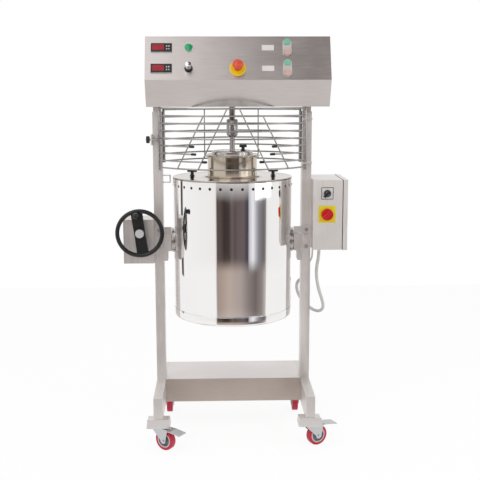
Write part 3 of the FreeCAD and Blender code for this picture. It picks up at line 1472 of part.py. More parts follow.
def worm_shape():
    """A right-hand single thread on a round core, along +Z, set to meet a tooth gap."""
    pitch_radius = number(size.worm_pitch)
    root_radius = pitch_radius - module * number(size.tooth_root)
    tip_radius = pitch_radius + module * number(size.tooth_tip)
    quarters = 4 * round(number(size.worm_length) / pitch / 2) + 1
    start = -pitch * quarters / 4
    length = number(size.worm_length)
    root_half, tip_half = tooth_section(root_radius, tip_radius, pitch_radius)
    bite = module / 4
    helix = Part.makeHelix(pitch, length, pitch_radius)
    corners = [
        Vector(root_radius - bite, 0, -root_half),
        Vector(tip_radius, 0, -tip_half),
        Vector(tip_radius, 0, tip_half),
        Vector(root_radius - bite, 0, root_half),
    ]
    section = Part.makePolygon(corners + corners[:1])
    thread = Part.Wire(helix).makePipeShell([section], True, True)
    thread.translate(Vector(0, 0, start))
    core = Part.makeCylinder(root_radius, length + pitch, Vector(0, 0, start - pitch / 2))
    return core.fuse(thread)


back_end = size.housing_depth / 2 - case * 2 - gap
front_end = size.rim_front
worm = place(shaped("worm", worm_shape()), worm_x, Y, worm_z, TURNS["+Y"])
worm_bar = rod("worm_bar", size.worm_shaft_radius, back_end + front_end,
               (worm_x, Y - front_end, worm_z), "+Y")
node("worm_shaft", fuse("worm_shaft", worm, worm_bar))

# Handwheel with its crank handle

rim = doc.addObject("Part::Torus", "rim")
rim.Radius1 = number(size.rim_radius)
rim.Radius2 = number(size.rim_section)
bind(rim, "Radius1", size.rim_radius)
bind(rim, "Radius2", size.rim_section)
wheel_y = Y - size.rim_front
place(rim, worm_x, wheel_y, worm_z, TURNS["-Y"])


def spoke_plate():
    """The flat plate across the rim, leaning, cut to the middle of the rim section."""
    width = number(size.spoke_width)
    deep = number(size.spoke_thick)
    reach = number(size.rim_radius)
    plate = Part.makeBox(width, deep, reach * 2, Vector(-width / 2, -deep / 2, -reach))
    plate.rotate(Vector(0, 0, 0), Vector(0, 1, 0), -number(size.spoke_lean))
    round_bound = Part.makeCylinder(reach, deep, Vector(0, -deep / 2, 0), Vector(0, 1, 0))
    return plate.common(round_bound)


spoke = place(shaped("spoke", spoke_plate()), worm_x, wheel_y, worm_z)
hub_front = size.rim_front + size.rim_section + size.flange_thick
hub_bar = rod("wheel_hub", size.wheel_hub, size.rim_section * 3, (worm_x, Y - hub_front, worm_z), "+Y")
hub_bore = rod("wheel_hub_bore", size.worm_shaft_radius, hub_front, (worm_x, wheel_y, worm_z), "+Y")
lean = size.spoke_lean
handle_x = worm_x - size.handle_reach * sine(lean)
handle_z = worm_z + size.handle_reach * cosine(lean)
spoke_face = wheel_y - size.spoke_thick / 2
pin = rod("handle_pin", size.handle_pin, size.handle_length - size.handle_radius,
          (handle_x, spoke_face, handle_z), "-Y")
pin_rise = size.rim_section - size.spoke_thick / 2
pin_foot = rod("handle_pin_foot", size.handle_pin * 2, pin_rise + size.spoke_thick / 2,
               (handle_x, wheel_y, handle_z), "-Y")
node("handwheel", cut("handwheel", fuse("handwheel_blank", rim, spoke, hub_bar, pin, pin_foot), hub_bore))

grip_start = pin_rise + gap
bore = size.handle_pin + gap
grip_length = size.handle_length
pin_end = size.handle_length - size.handle_radius + gap
neck = size.handle_neck
node("crank_handle", turned("crank_handle", [
    (bore, grip_start),
    (neck, grip_start),
    (neck, grip_start + size.flange_thick),
    (size.handle_radius, grip_length / 2),
    (size.handle_radius, grip_length - size.handle_radius),
    Arc(0, grip_length, centre_x=as_size(0)),
    (0, pin_end),
    (bore, pin_end),
], (handle_x, spoke_face, handle_z), "-Y"))

# Guard: bent rods before and behind the drive shaft

gate_rise = size.gate_bulge - size.gate_front
gate_round = (size.gate_x * size.gate_x + gate_rise * gate_rise) / (gate_rise * 2)
gate_centre = Y - size.gate_bulge + gate_round
gate_half = arc_tangent(size.gate_x, gate_round - gate_rise)


def bent_rod(name, centre_y, radius, height, start, sweep, section):
    """A rod bent to a level arc, from a start angle over a sweep."""
    arc = doc.addObject("Part::Torus", name)
    for prop, amount in (("Radius1", radius), ("Radius2", section), ("Angle3", sweep)):
        setattr(arc, prop, number(amount))
        bind(arc, prop, amount)
    place(arc, 0, centre_y, height, Rotation(Vector(0, 0, 1), number(start)))
    arc.setExpression("Placement.Rotation.Angle", start.text)
    return arc


def rod_angle(x):
    """The turn from straight ahead to a gate rod's point at x."""
    along = root(gate_round * gate_round - x * x)
    return arc_tangent(x, along)


WINDOWS = {1: size.window_low, 2: size.window_mid, 3: size.window_high}
rods = []
for index in range(int(number(size.gate_rods))):
    height = size.gate_low + size.gate_step * index
    if index not in WINDOWS:
        rods.append(bent_rod(f"gate_rod_{index}", gate_centre, gate_round, height,
                             as_size(270) - gate_half, gate_half * 2, size.wire_radius))
        continue
    open_angle = rod_angle(WINDOWS[index])
    cap_angle = rod_angle(WINDOWS[index] + size.cap_length) - open_angle
    sweep = gate_half - open_angle
    rods.append(bent_rod(f"gate_rod_{index}_left", gate_centre, gate_round, height,
                         as_size(270) - gate_half, sweep, size.wire_radius))
    rods.append(bent_rod(f"gate_rod_{index}_right", gate_centre, gate_round, height,
                         as_size(270) + open_angle, sweep, size.wire_radius))
    rods.append(bent_rod(f"gate_cap_{index}_left", gate_centre, gate_round, height,
                         as_size(270) - open_angle - cap_angle, cap_angle, size.bar_radius))
    rods.append(bent_rod(f"gate_cap_{index}_right", gate_centre, gate_round, height,
                         as_size(270) + open_angle, cap_angle, size.bar_radius))


def straight_rod(name, start, end, radius):
    """A straight rod between two points."""
    run = end - start
    return shaped(name, Part.makeCylinder(radius, run.Length, start, run))


def gate_rib(name, side, top_x, foot_x, top_z):
    """A straight rib that lies on the front of the gate rods."""
    stand = number(gate_round) + number(size.wire_radius + size.rib_radius - size.rib_sink)
    ends = []
    for x, z in ((top_x, top_z), (foot_x, size.gate_low)):
        depth = math.sqrt(stand ** 2 - number(x) ** 2)
        ends.append(Vector(side * number(x), number(gate_centre) - depth, number(z)))
    return straight_rod(name, ends[0], ends[1], number(size.rib_radius))


second_rod = gate_top - size.gate_step
ribs = []
for word, side in SIDES:
    ribs.append(gate_rib(f"inner_rib_{word}", side, size.inner_rib_top, size.inner_rib_foot, gate_top))
    ribs.append(gate_rib(f"outer_rib_{word}", side, size.outer_rib_top, size.outer_rib_foot, second_rod))
end_bars = [rod(f"gate_bar_{word}", size.bar_radius, bar_high - bar_low,
                (side * size.gate_x, gate_y, bar_low)) for word, side in SIDES]
ring_low = size.gate_low + size.gate_step / 2 + lug / 2 + gap
rest_ring = rod("gate_rest_ring", size.rest_radius, lug, (size.gate_x, gate_y, ring_low))
welded = fuse("guard_gate", *end_bars, rest_ring, *rods, *ribs)
welded.Refine = False
node("guard_gate", welded)

back_x = post_inner - size.bar_radius
back_rise = size.back_bulge - size.back_foot
back_round = (back_x * back_x + back_rise * back_rise) / (back_rise * 2)
back_centre = Y + size.back_bulge - back_round
back_half = arc_tangent(back_x, back_round - back_rise)
back_top = size.back_low + size.back_step * (size.rear_rods - 1)
back_rods = []
for index in range(int(number(size.rear_rods))):
    back_rods.append(bent_rod(f"back_rod_{index}", back_centre, back_round,
                              size.back_low + size.back_step * index,
                              as_size(90) - back_half, back_half * 2, size.wire_radius))
for word, side in SIDES:
    back_rods.append(rod(f"back_bar_{word}", size.bar_radius, back_top - size.back_low + size.bar_radius * 2,
                         (side * back_x, Y + size.back_foot, size.back_low - size.bar_radius)))
    rib_depth = root(back_round * back_round - size.back_rib * size.back_rib)
    back_rods.append(rod(f"back_rib_{word}", size.rib_radius, back_top - size.back_low,
                         (side * size.back_rib, back_centre + rib_depth + size.wire_radius, size.back_low)))
node("guard_rear", fuse("guard_rear", *back_rods))

# Latch knob: a pin through the tab on the left post, with a star grip

pin_tip = size.gate_x + size.bar_radius + size.latch_gap
grip_face = post_outer + lug + size.latch_stroke / 2
grip_far = grip_face + size.latch_grip
latch_grip = place(shaped("latch_grip", knob_shape(
    number(size.knob_lobes), number(size.latch_radius), number(size.lobe_radius),
    number(size.latch_grip))), -grip_face, latch_y, size.latch_height, TURNS["-X"])
latch_bar = rod("latch_bar", size.latch_pin, grip_face - pin_tip + size.lobe_radius,
                (-pin_tip, latch_y, size.latch_height), "-X")
node("latch_knob", fuse("latch_knob", latch_grip, latch_bar))

# Control box on the right post, with its door and switches

sheet_metal = size.box_wall
box_outer = post_outer + size.box_width
hinge_x = box_outer + size.hinge_off
selector_height = size.main_height + size.selector_above
box_y = (Y - size.box_front, Y + size.box_back)
cabinet = box("cabinet", (post_outer, box_outer), box_y, (size.box_bottom, size.box_top))
cabinet_room = box("cabinet_room", (post_outer + sheet_metal, box_outer + sheet_metal),
                   (box_y[0] + sheet_metal, box_y[1] - sheet_metal),
                   (size.box_bottom + sheet_metal, size.box_top - sheet_metal))
front_holes = [rod(f"{word}_hole", size.key_stem + gap, size.key_size,
                   (size.switch_x, box_y[0] - size.key_size / 2, height), "+Y")
               for word, height in (("main", size.main_height), ("selector", selector_height))]
GLANDS = (("hose", size.hose_x, size.hose_y, size.hose_gland, size.hose_radius),
          ("cable", size.cable_x, size.cable_y, size.cable_gland, size.cable_radius))
gland_holes = [rod(f"{word}_gland_hole", bore_radius + sheet_metal / 2, size.key_size,
                   (x, Y + y, size.box_bottom - size.key_size / 2))
               for word, x, y, body_radius, bore_radius in GLANDS]
hinge_y = Y + size.hinge_y
ear_round = size.hinge_radius - size.running_gap * 2
knuckle_low = (size.box_bottom + size.hinge_length, size.box_top - size.hinge_length * 2)
ears = []
for index, low in enumerate(knuckle_low):
    for mark, level in (("under", low - size.flange_thick - gap), ("over", low + size.hinge_length + gap)):
        name = f"ear_{index}_{mark}"
        strip = box(name + "_strip", (box_outer - size.key_size, hinge_x),
                    (hinge_y - ear_round, hinge_y + ear_round), (level, level + size.flange_thick))
        root_block = box(name + "_root", (box_outer - size.key_size, box_outer - sheet_metal),
                         (box_y[1], hinge_y + ear_round), (level, level + size.flange_thick))
        tip = rod(name + "_tip", ear_round, size.flange_thick, (hinge_x, hinge_y, level))
        ears.extend((strip, root_block, tip))
    ears.append(rod(f"hinge_pin_{index}", size.hinge_pin, size.hinge_length + gap * 2,
                    (hinge_x, hinge_y, low - gap)))
node("control_box", fuse(
    "control_box",
    cut("cabinet_shell", cabinet, cabinet_room, trunnion_hole("cabinet_bore"), *front_holes, *gland_holes),
    *ears))

seal_face = box_outer + size.gasket
door_face = seal_face + size.door_thick
lap = size.door_lap
seal = size.seal_width
door_y = (box_y[0] - lap, box_y[1] + lap)
door_z = (size.box_bottom - lap, size.box_top + lap)
door_skin = box("door_skin", (seal_face, door_face), door_y, door_z)
door_room = box("door_room", (seal_face - sheet_metal, door_face - sheet_metal),
                (door_y[0] + sheet_metal, door_y[1] - sheet_metal),
                (door_z[0] + sheet_metal, door_z[1] - sheet_metal))
door_parts = [cut("door_shell", door_skin, door_room)]
door_bores = []
for index, low in enumerate(knuckle_low):
    door_parts.append(rod(f"knuckle_{index}", size.hinge_radius, size.hinge_length,
                          (hinge_x, hinge_y, low)))
    door_parts.append(box(f"knuckle_leaf_{index}",
                          (hinge_x - size.hinge_radius, hinge_x + size.hinge_radius),
                          (door_y[1] - sheet_metal, hinge_y), (low, low + size.hinge_length)))
    door_bores.append(rod(f"knuckle_bore_{index}", size.hinge_pin + gap, size.hinge_length * 2,
                          (hinge_x, hinge_y, low - size.hinge_length / 2)))
seal_blank = box("seal_blank", (box_outer + gap, seal_face), (box_y[0], box_y[1]),
                 (size.box_bottom, size.box_top))
seal_open = box("seal_open", (box_outer - seal, seal_face + seal), (box_y[0] + seal, box_y[1] - seal),
                (size.box_bottom + seal, size.box_top - seal))
door_rim = box("door_rim", (seal_face, seal_face + sheet_metal), door_y, door_z)
rim_open = box("rim_open", (seal_face - seal, seal_face + seal), (box_y[0] + seal, box_y[1] - seal),
               (size.box_bottom + seal, size.box_top - seal))
door_parts.append(cut("door_return", door_rim, rim_open))
node("control_box_door", group(
    "control_box_door", cut("door", fuse("door_blank", *door_parts), *door_bores),
    cut("door_seal", seal_blank, seal_open)))

PLATES = (("main", size.main_height, size.main_plate),
          ("selector", selector_height, size.selector_plate))
plates = []
for word, height, width in PLATES:
    blank = box(f"{word}_plate_blank", (size.switch_x - width / 2, size.switch_x + width / 2),
                (box_y[0] - size.switch_plate, box_y[0]), (height - width / 2, height + width / 2))
    way = rod(f"{word}_plate_bore", size.key_stem + gap, size.key_size,
              (size.switch_x, box_y[0] - size.key_size / 2, height), "+Y")
    plates.append(cut(f"{word}_plate", blank, way))
node("switch_plates", group("switch_plates", *plates))

KNOBS = (("main", size.main_height, size.main_radius, size.main_rise, size.main_bar, "main_switch_knob"),
         ("selector", selector_height, size.selector_radius, size.selector_rise, size.selector_bar,
          "selector_knob"))
for word, height, radius, rise, width, label in KNOBS:
    face = box_y[0] - size.switch_plate - gap
    dial = turned(f"{word}_dial", [
        (0, as_size(0)),
        (radius, as_size(0)),
        (radius - size.key_rise / 2, rise / 2),
        (0, rise / 2),
    ], (size.switch_x, face, height), "-Y")
    bar = box(f"{word}_bar", (size.switch_x - width / 2, size.switch_x + width / 2),
              (face - rise, face - rise / 4),
              (height - radius + size.key_rise, height + radius - size.key_rise))
    stem = rod(f"{word}_stem", size.key_stem, size.key_size + rise / 2,
               (size.switch_x, face - rise / 2, height), "+Y")
    node(label, fuse(label, dial, bar, stem))

# Inside the control box: plate, contactors and terminal strip

tray_face = post_outer + sheet_metal * 2
relay_y = Y - size.box_front / 3
relays = [box("relay_tray", (post_outer + sheet_metal, tray_face),
              (relay_y - sheet_metal, relay_y + size.relay_width * 3 + sheet_metal * 3),
              (size.strip_low - size.key_size / 2, size.relay_low + size.relay_height + size.key_size / 2))]
for index in range(3):
    near = relay_y + (size.relay_width + sheet_metal) * index
    relays.append(box(f"relay_{index + 1}", (tray_face, tray_face + size.relay_depth),
                      (near, near + size.relay_width), (size.relay_low, size.relay_low + size.relay_height)))
relays.append(box("terminal_strip", (tray_face, tray_face + size.strip_depth),
                  (relay_y, relay_y + size.relay_width * 3),
                  (size.strip_low, size.strip_low + size.strip_height)))
node("switch_gear", fuse("switch_gear", *relays))

# Cable glands, hose and sensor cable

glands = []
for word, x, y, body_radius, bore_radius in GLANDS:
    nut = doc.addObject("Part::Prism", f"{word}_gland_nut")
    nut.Polygon = 6
    nut.Circumradius = number(body_radius)
    nut.Height = number(size.gland_length / 2)
    bind(nut, "Circumradius", body_radius)
    bind(nut, "Height", size.gland_length / 2)
    place(nut, x, Y + y, size.box_bottom - size.gland_length / 2)
    dome = cone(f"{word}_gland_dome", body_radius - sheet_metal, bore_radius + sheet_metal / 2,
                size.gland_length / 2, (x, Y + y, size.box_bottom - size.gland_length / 2), "-Z")
    thread = rod(f"{word}_gland_thread", bore_radius, size.gland_length / 2 + sheet_metal * 2,
                 (x, Y + y, size.box_bottom - size.gland_length / 4))
    glands.append(fuse(f"{word}_gland", nut, dome, thread))
node("cable_glands", group("cable_glands", *glands))


RUN_SHARE = 0.45


def cord_path(points):
    """Straight runs joined by arcs, each as large as its two runs allow."""
    edges = []
    radii = []
    here = points[0]
    for before, corner, after in zip(points, points[1:], points[2:]):
        back = (before - corner).normalize()
        ahead = (after - corner).normalize()
        turn = math.pi - back.getAngle(ahead)
        reach = RUN_SHARE * min((before - corner).Length, (after - corner).Length)
        radii.append(reach / math.tan(turn / 2))
        start = corner + back * reach
        end = corner + ahead * reach
        bisector = (back + ahead).normalize()
        drop = reach * math.tan(turn / 4)
        middle = corner + bisector * drop
        edges.append(Part.LineSegment(here, start).toShape())
        edges.append(Part.Arc(start, middle, end).toShape())
        here = end
    edges.append(Part.LineSegment(here, points[-1]).toShape())
    return Part.Wire(edges), radii


def cord(name, route, radius):
    """A plain round cord along a route of hand-chosen points."""
    path, radii = cord_path(route)
    first = (route[1] - route[0]).normalize()
    section = Part.Wire(Part.makeCircle(radius, route[0], first))
    solid = path.makePipeShell([section], True, False)
    share = solid.Volume / (math.pi * radius ** 2 * path.Length)
    print(f"{name}: length {path.Length:.0f}, smallest bend {min(radii):.0f}, volume share {share:.3f}")
    return shaped(name, solid)


gland_foot = size.box_bottom - size.gland_length
HOSE_ROUTE = [
    (345, 20, 692), (336, 22, 648), (338, 26, 600), (348, 33, 555), (362, 46, 515),
    (372, 66, 482), (371, 90, 457), (356, 113, 443), (331, 132, 449), (302, 143, 474),
    (277, 140, 508), (266, 123, 545), (268, 96, 576), (282, 66, 594),
]
CABLE_ROUTE = [
    (324, 62, 702), (323, 67, 679), (313, 72, 660), (303, 68, 645), (295, 59, 636),
    (290, 45, 631),
]


def full_route(x, y, middle, end):
    """Route points from a gland, through the chosen ones, to the back of the post."""
    shift = number(Y)
    start = Vector(number(x), shift + number(y), number(gland_foot))
    chosen = [Vector(px, shift + py, pz) for px, py, pz in middle]
    return [start] + chosen + [Vector(end[0], shift + number(size.post_depth) / 2, end[1])]


node("supply_hose", cord("supply_hose", full_route(
    size.hose_x, size.hose_y, HOSE_ROUTE, (282, 594)), number(size.hose_radius)))
node("sensor_cable", cord("sensor_cable", full_route(
    size.cable_x, size.cable_y, CABLE_ROUTE, (290, 631)), number(size.cable_radius)))

# Check every object, then write each node's file

doc.recompute()
broken = [item.Label for item in doc.Objects if {"Invalid", "Error"} & set(item.State)]
if broken:
    raise RuntimeError(f"failed objects: {broken}")
for thing in nodes:
    if thing.Shape.isNull() or not thing.Shape.isValid() or not thing.Shape.Solids:
        raise RuntimeError(f"bad shape: {thing.Label}")
os.makedirs("parts", exist_ok=True)
for thing in nodes:
    thing.Shape.exportStep(f"parts/{thing.Label}.step")
    print(f"{thing.Label}: {len(thing.Shape.Solids)} solids, {thing.Shape.Volume / 1000:.1f} cm3")
print(f"{len(nodes)} nodes")
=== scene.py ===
# %% [markdown]
# # Dressing a cream cooker
#
# The machine is a stainless kettle that hangs between two posts, under a head with a
# control panel. Its frame, joints and sizes come ready made. This lesson gives every
# visible surface its finish: brushed sheet, mirror sheet, drawn rod, black thermoset,
# red tyres and a white hose.

# %% Load the frame
import json
import math

import bmesh
import bpy
import numpy as np
from mathutils import Matrix, Vector

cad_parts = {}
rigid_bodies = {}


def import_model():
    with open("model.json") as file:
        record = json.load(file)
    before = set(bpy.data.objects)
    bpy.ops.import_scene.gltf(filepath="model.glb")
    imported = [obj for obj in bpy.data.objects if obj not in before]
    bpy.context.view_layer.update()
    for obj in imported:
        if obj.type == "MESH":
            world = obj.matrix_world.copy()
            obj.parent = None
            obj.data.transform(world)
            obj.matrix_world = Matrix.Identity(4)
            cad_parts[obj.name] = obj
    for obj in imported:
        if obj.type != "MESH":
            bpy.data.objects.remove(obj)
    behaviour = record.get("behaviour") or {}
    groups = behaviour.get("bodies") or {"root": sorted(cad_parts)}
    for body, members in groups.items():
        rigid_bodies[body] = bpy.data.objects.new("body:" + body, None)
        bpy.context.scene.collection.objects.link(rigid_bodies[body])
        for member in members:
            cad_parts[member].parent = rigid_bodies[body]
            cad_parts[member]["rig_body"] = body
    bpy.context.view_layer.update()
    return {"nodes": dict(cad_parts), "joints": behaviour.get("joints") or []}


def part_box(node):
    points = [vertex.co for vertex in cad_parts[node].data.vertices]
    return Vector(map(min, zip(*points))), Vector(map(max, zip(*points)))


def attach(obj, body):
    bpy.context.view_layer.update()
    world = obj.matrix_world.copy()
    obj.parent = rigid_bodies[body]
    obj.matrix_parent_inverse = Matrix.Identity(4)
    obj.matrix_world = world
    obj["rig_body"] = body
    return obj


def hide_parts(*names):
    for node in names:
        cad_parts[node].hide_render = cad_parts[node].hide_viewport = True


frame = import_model()
JOINT = {joint["name"]: joint for joint in frame["joints"]}

# %% [markdown]
# ## Camera
#
# The photograph was taken from about three metres, a little above the middle of the
# machine and a little to its left. A pinhole camera is described by where it stands,
# the way it looks and its focal length in pixels of the picture. The focal length in
# millimetres follows from the 36 mm sensor.

# %% Camera
PICTURE = 480
FOCAL_PIXELS = 850.0
SENSOR = 36.0
CAMERA_PLACE = (-0.0665, -3.272, 1.325)
PITCH, YAW, ROLL = (math.radians(angle) for angle in (9.6, 1.66, -0.12))


def camera_axes(pitch, yaw, roll):
    """Right, up and backward unit vectors of a camera that looks along +Y, turned and dipped."""
    ahead = np.array([math.sin(yaw) * math.cos(pitch), math.cos(yaw) * math.cos(pitch), -math.sin(pitch)])
    right = np.array([math.cos(yaw), -math.sin(yaw), 0.0])
    up = np.cross(right, ahead)
    rolled_right = right * math.cos(roll) + up * math.sin(roll)
    rolled_up = up * math.cos(roll) - right * math.sin(roll)
    return rolled_right, rolled_up, -ahead


camera_data = bpy.data.cameras.new("camera")
camera_data.sensor_width = SENSOR
camera_data.lens = FOCAL_PIXELS / PICTURE * SENSOR
camera = bpy.data.objects.new("camera", camera_data)
bpy.context.scene.collection.objects.link(camera)
turn = Matrix([list(row) for row in np.stack(camera_axes(PITCH, YAW, ROLL), axis=1)]).to_4x4()
camera.matrix_world = Matrix.Translation(CAMERA_PLACE) @ turn
bpy.context.scene.camera = camera
print(f"camera: {camera_data.lens:.1f} mm lens at {CAMERA_PLACE}")

# %% [markdown]
# ## Colours and nodes
#
# Colours are written as the hex values that a paint program shows. Blender's shaders
# want linear light, so one function converts them. A second function adds one node
# with its settings and links, which keeps each material short enough to read.

# %% Helpers for materials


def linear(hex_colour):
    """Turn an sRGB hex colour into linear red, green, blue and alpha."""
    channels = np.array([int(hex_colour[i:i + 2], 16) for i in (1, 3, 5)]) / 255
    low = channels / 12.92
    high = ((channels + 0.055) / 1.055) ** 2.4
    return (*np.where(channels <= 0.04045, low, high).tolist(), 1.0)


def add(tree, kind, inputs=None, **settings):
    """Add a node, set its properties, and set or link its inputs."""
    node = tree.nodes.new(kind)
    for key, value in settings.items():
        setattr(node, key, value)
    for socket, value in (inputs or {}).items():
        if isinstance(value, bpy.types.NodeSocket):
            tree.links.new(value, node.inputs[socket])
        else:
            node.inputs[socket].default_value = value
    return node


def new_material(name, **shader):
    """A material with one Principled shader, whose plain inputs are given by name."""
    material = bpy.data.materials.new(name)
    material.use_nodes = True
    tree = material.node_tree
    tree.nodes.clear()
    inputs = {key.replace("_", " "): value for key, value in shader.items()}
    principled = add(tree, "ShaderNodeBsdfPrincipled", inputs)
    add(tree, "ShaderNodeOutputMaterial", {"Surface": principled.outputs[0]})
    return material, tree, principled


def stretched_noise(tree, sizes, detail=2.0):
    """Noise on object coordinates whose grains measure sizes, in metres, along X, Y and Z."""
    place = add(tree, "ShaderNodeTexCoord")
    scale = add(tree, "ShaderNodeMapping", {
        "Vector": place.outputs["Object"], "Scale": [1 / size for size in sizes]})
    return add(tree, "ShaderNodeTexNoise", {
        "Vector": scale.outputs[0], "Scale": 1.0, "Detail": detail}).outputs["Fac"]


def spread_to(tree, value, low, high):
    """Carry a noise value, which mostly lies from 0.3 to 0.7, to a range."""
    return add(tree, "ShaderNodeMapRange", {
        "Value": value, "From Min": 0.3, "From Max": 0.7, "To Min": low, "To Max": high}).outputs[0]


def blend_colours(tree, factor, one, other):
    """Mix two hex colours by a factor."""
    mix = add(tree, "ShaderNodeMix", data_type="RGBA")
    tree.links.new(factor, mix.inputs[0])
    mix.inputs[6].default_value = linear(one)
    mix.inputs[7].default_value = linear(other)
    return mix.outputs[2]


print("helpers: colours, nodes, noise")

# %% [markdown]
# ## Light and surroundings
#
# Polished steel has no colour of its own: it shows what stands round it. The real
# machine was photographed in a white studio, with a darker gap at the front between
# two soft lights, where the photographer stood. The kettle shows that gap as a
# striped band. So the world is white to the camera. Metal sees the same white, apart
# from the gap, which lies low at the front, and a warmer, darker wall high on the
# right, which the leaning panel shows. Each is worked out from the ray's direction.

# %% World
STUDIO = [
    (-180, "#FFFFFF"), (-119, "#FFFFFF"), (-117, "#464240"), (-112, "#464240"), (-110, "#FFFFFF"),
    (-36, "#F8F7F6"), (-32.5, "#EFEBE8"), (-31.5, "#5A4F4C"), (-24, "#5B4E4B"), (-17, "#3F3533"),
    (-8, "#443A39"), (-2, "#6E6361"), (3, "#5C5250"), (9, "#6A5E5F"), (20, "#6B6064"),
    (28, "#3F3A40"), (31, "#C9CBD6"), (38, "#F6F6FB"), (45, "#B7B7BF"), (50, "#8E8C92"),
    (60, "#6F6A6C"), (65, "#8A8688"), (66.5, "#EFEDEC"), (72, "#FAFAFA"), (180, "#FFFFFF"),
]
HIGH_WALL = [
    (-180, "#FFFFFF"), (-50, "#FFFFFF"), (-14, "#E2DEDD"), (-2, "#8A7F7D"), (12, "#5A4F4D"), (45, "#4E4442"),
    (70, "#7A706E"), (95, "#FFFFFF"), (180, "#FFFFFF"),
]
FLOOR_GAP = [
    (-180, "#FFFFFF"), (-119, "#FFFFFF"), (-117, "#5A5654"), (-112, "#5A5654"), (-110, "#FFFFFF"),
    (-33, "#FFFFFF"), (-32, "#A6968D"), (-8, "#C0B0A5"), (14, "#B2A6A1"), (30, "#8C827F"),
    (44, "#746B68"), (58, "#958D8A"), (66, "#C8C2BE"), (67, "#FFFFFF"), (180, "#FFFFFF"),
]
LIGHT_STRENGTH = 0.62


def ramp(tree, factor, stops):
    """A colour ramp from (place, hex colour) stops, place from 0 to 1."""
    node = add(tree, "ShaderNodeValToRGB", {"Fac": factor})
    for index, (place, colour) in enumerate(stops):
        if index < 2:
            stop = node.color_ramp.elements[index]
            stop.position = place
        else:
            stop = node.color_ramp.elements.new(place)
        stop.color = linear(colour)
    return node.outputs["Color"]


def math_node(tree, operation, first, second=0.0):
    """One calculation on values in a node tree."""
    node = add(tree, "ShaderNodeMath", operation=operation)
    for socket, value in zip(node.inputs, (first, second)):
        if isinstance(value, bpy.types.NodeSocket):
            tree.links.new(value, socket)
        else:
            socket.default_value = value
    return node.outputs[0]


world = bpy.data.worlds.new("studio")
bpy.context.scene.world = world
world.use_nodes = True
sky = world.node_tree
sky.nodes.clear()
direction = add(sky, "ShaderNodeSeparateXYZ", {"Vector": add(sky, "ShaderNodeTexCoord").outputs["Generated"]})
east, north, height = direction.outputs
forward = math_node(sky, "MULTIPLY", north, -1.0)
azimuth = math_node(sky, "ARCTAN2", east, forward)
turn_share = math_node(sky, "MULTIPLY_ADD", azimuth, 1 / (2 * math.pi))
turn_share.node.inputs[2].default_value = 0.5
strip, gap_floor, high_wall = (
    ramp(sky, turn_share, [(angle / 360 + 0.5, colour) for angle, colour in stops])
    for stops in (STUDIO, FLOOR_GAP, HIGH_WALL))


def by_height(low, high, below, above):
    """Cross from one colour to another as the ray's height goes from low to high."""
    share = add(sky, "ShaderNodeMapRange", {
        "Value": height, "From Min": low, "From Max": high, "To Min": 0.0, "To Max": 1.0}).outputs[0]
    mix = add(sky, "ShaderNodeMix", data_type="RGBA")
    for socket, value in ((0, share), (6, below), (7, above)):
        if isinstance(value, bpy.types.NodeSocket):
            sky.links.new(value, mix.inputs[socket])
        else:
            mix.inputs[socket].default_value = linear(value)
    return mix.outputs[2]


near_floor = by_height(-0.55, -0.36, "#F2F0EE", gap_floor)
lower = by_height(-0.246, -0.208, near_floor, strip)
middle = by_height(-0.02, 0.07, lower, "#F4F3F2")
upper = by_height(0.48, 0.58, middle, high_wall)
seen = by_height(0.87, 0.95, upper, "#FFFFFF")
studio_light = add(sky, "ShaderNodeBackground", {"Color": (0.93, 0.925, 0.92, 1), "Strength": LIGHT_STRENGTH})
in_metal = add(sky, "ShaderNodeBackground", {"Color": seen, "Strength": 1.0})
white = add(sky, "ShaderNodeBackground", {"Color": (1, 1, 1, 1), "Strength": 1.0})
rays = add(sky, "ShaderNodeLightPath")
mirrored = math_node(sky, "MAXIMUM", rays.outputs["Is Glossy Ray"], rays.outputs["Is Transmission Ray"])
shown_in_metal = add(sky, "ShaderNodeMixShader", {0: mirrored, 1: studio_light.outputs[0], 2: in_metal.outputs[0]})
shown = add(sky, "ShaderNodeMixShader", {
    0: rays.outputs["Is Camera Ray"], 1: shown_in_metal.outputs[0], 2: white.outputs[0]})
add(sky, "ShaderNodeOutputWorld", {"Surface": shown.outputs[0]})
bpy.context.scene.view_settings.view_transform = "Standard"
print("world: studio strip with", len(STUDIO), "stops")

# %% Floor and lamps
FLOOR_X, FLOOR_FRONT, FLOOR_BACK = 2.6, -0.62, 2.6


def soft_lamp(name, place, target, size, power, colour="#FFFFFF"):
    """A square area lamp of a given side that looks at a target."""
    data = bpy.data.lights.new(name, "AREA")
    data.size = size
    data.energy = power
    data.color = linear(colour)[:3]
    lamp = bpy.data.objects.new(name, data)
    lamp.location = place
    lamp.rotation_euler = (Vector(target) - Vector(place)).to_track_quat("-Z", "Y").to_euler()
    bpy.context.scene.collection.objects.link(lamp)
    return lamp


floor_mesh = bpy.data.meshes.new("floor")
floor_mesh.from_pydata([
    (-FLOOR_X, FLOOR_FRONT, 0), (FLOOR_X, FLOOR_FRONT, 0), (FLOOR_X, FLOOR_BACK, 0), (-FLOOR_X, FLOOR_BACK, 0),
], [], [(0, 1, 2, 3)])
floor = bpy.data.objects.new("floor", floor_mesh)
bpy.context.scene.collection.objects.link(floor)
paper, paper_tree, paper_shader = new_material("studio_paper", Base_Color=linear("#F4F4F4"), Roughness=0.9)
paper_rays = add(paper_tree, "ShaderNodeLightPath")
paper_white = add(paper_tree, "ShaderNodeEmission", {"Color": (1, 1, 1, 1), "Strength": 1.06})
paper_glossy = math_node(paper_tree, "MAXIMUM", paper_rays.outputs["Is Glossy Ray"], paper_rays.outputs["Is Transmission Ray"])
paper_seen = math_node(paper_tree, "MAXIMUM", paper_rays.outputs["Is Camera Ray"], paper_glossy)
paper_share = math_node(paper_tree, "MULTIPLY", paper_seen, 0.84)
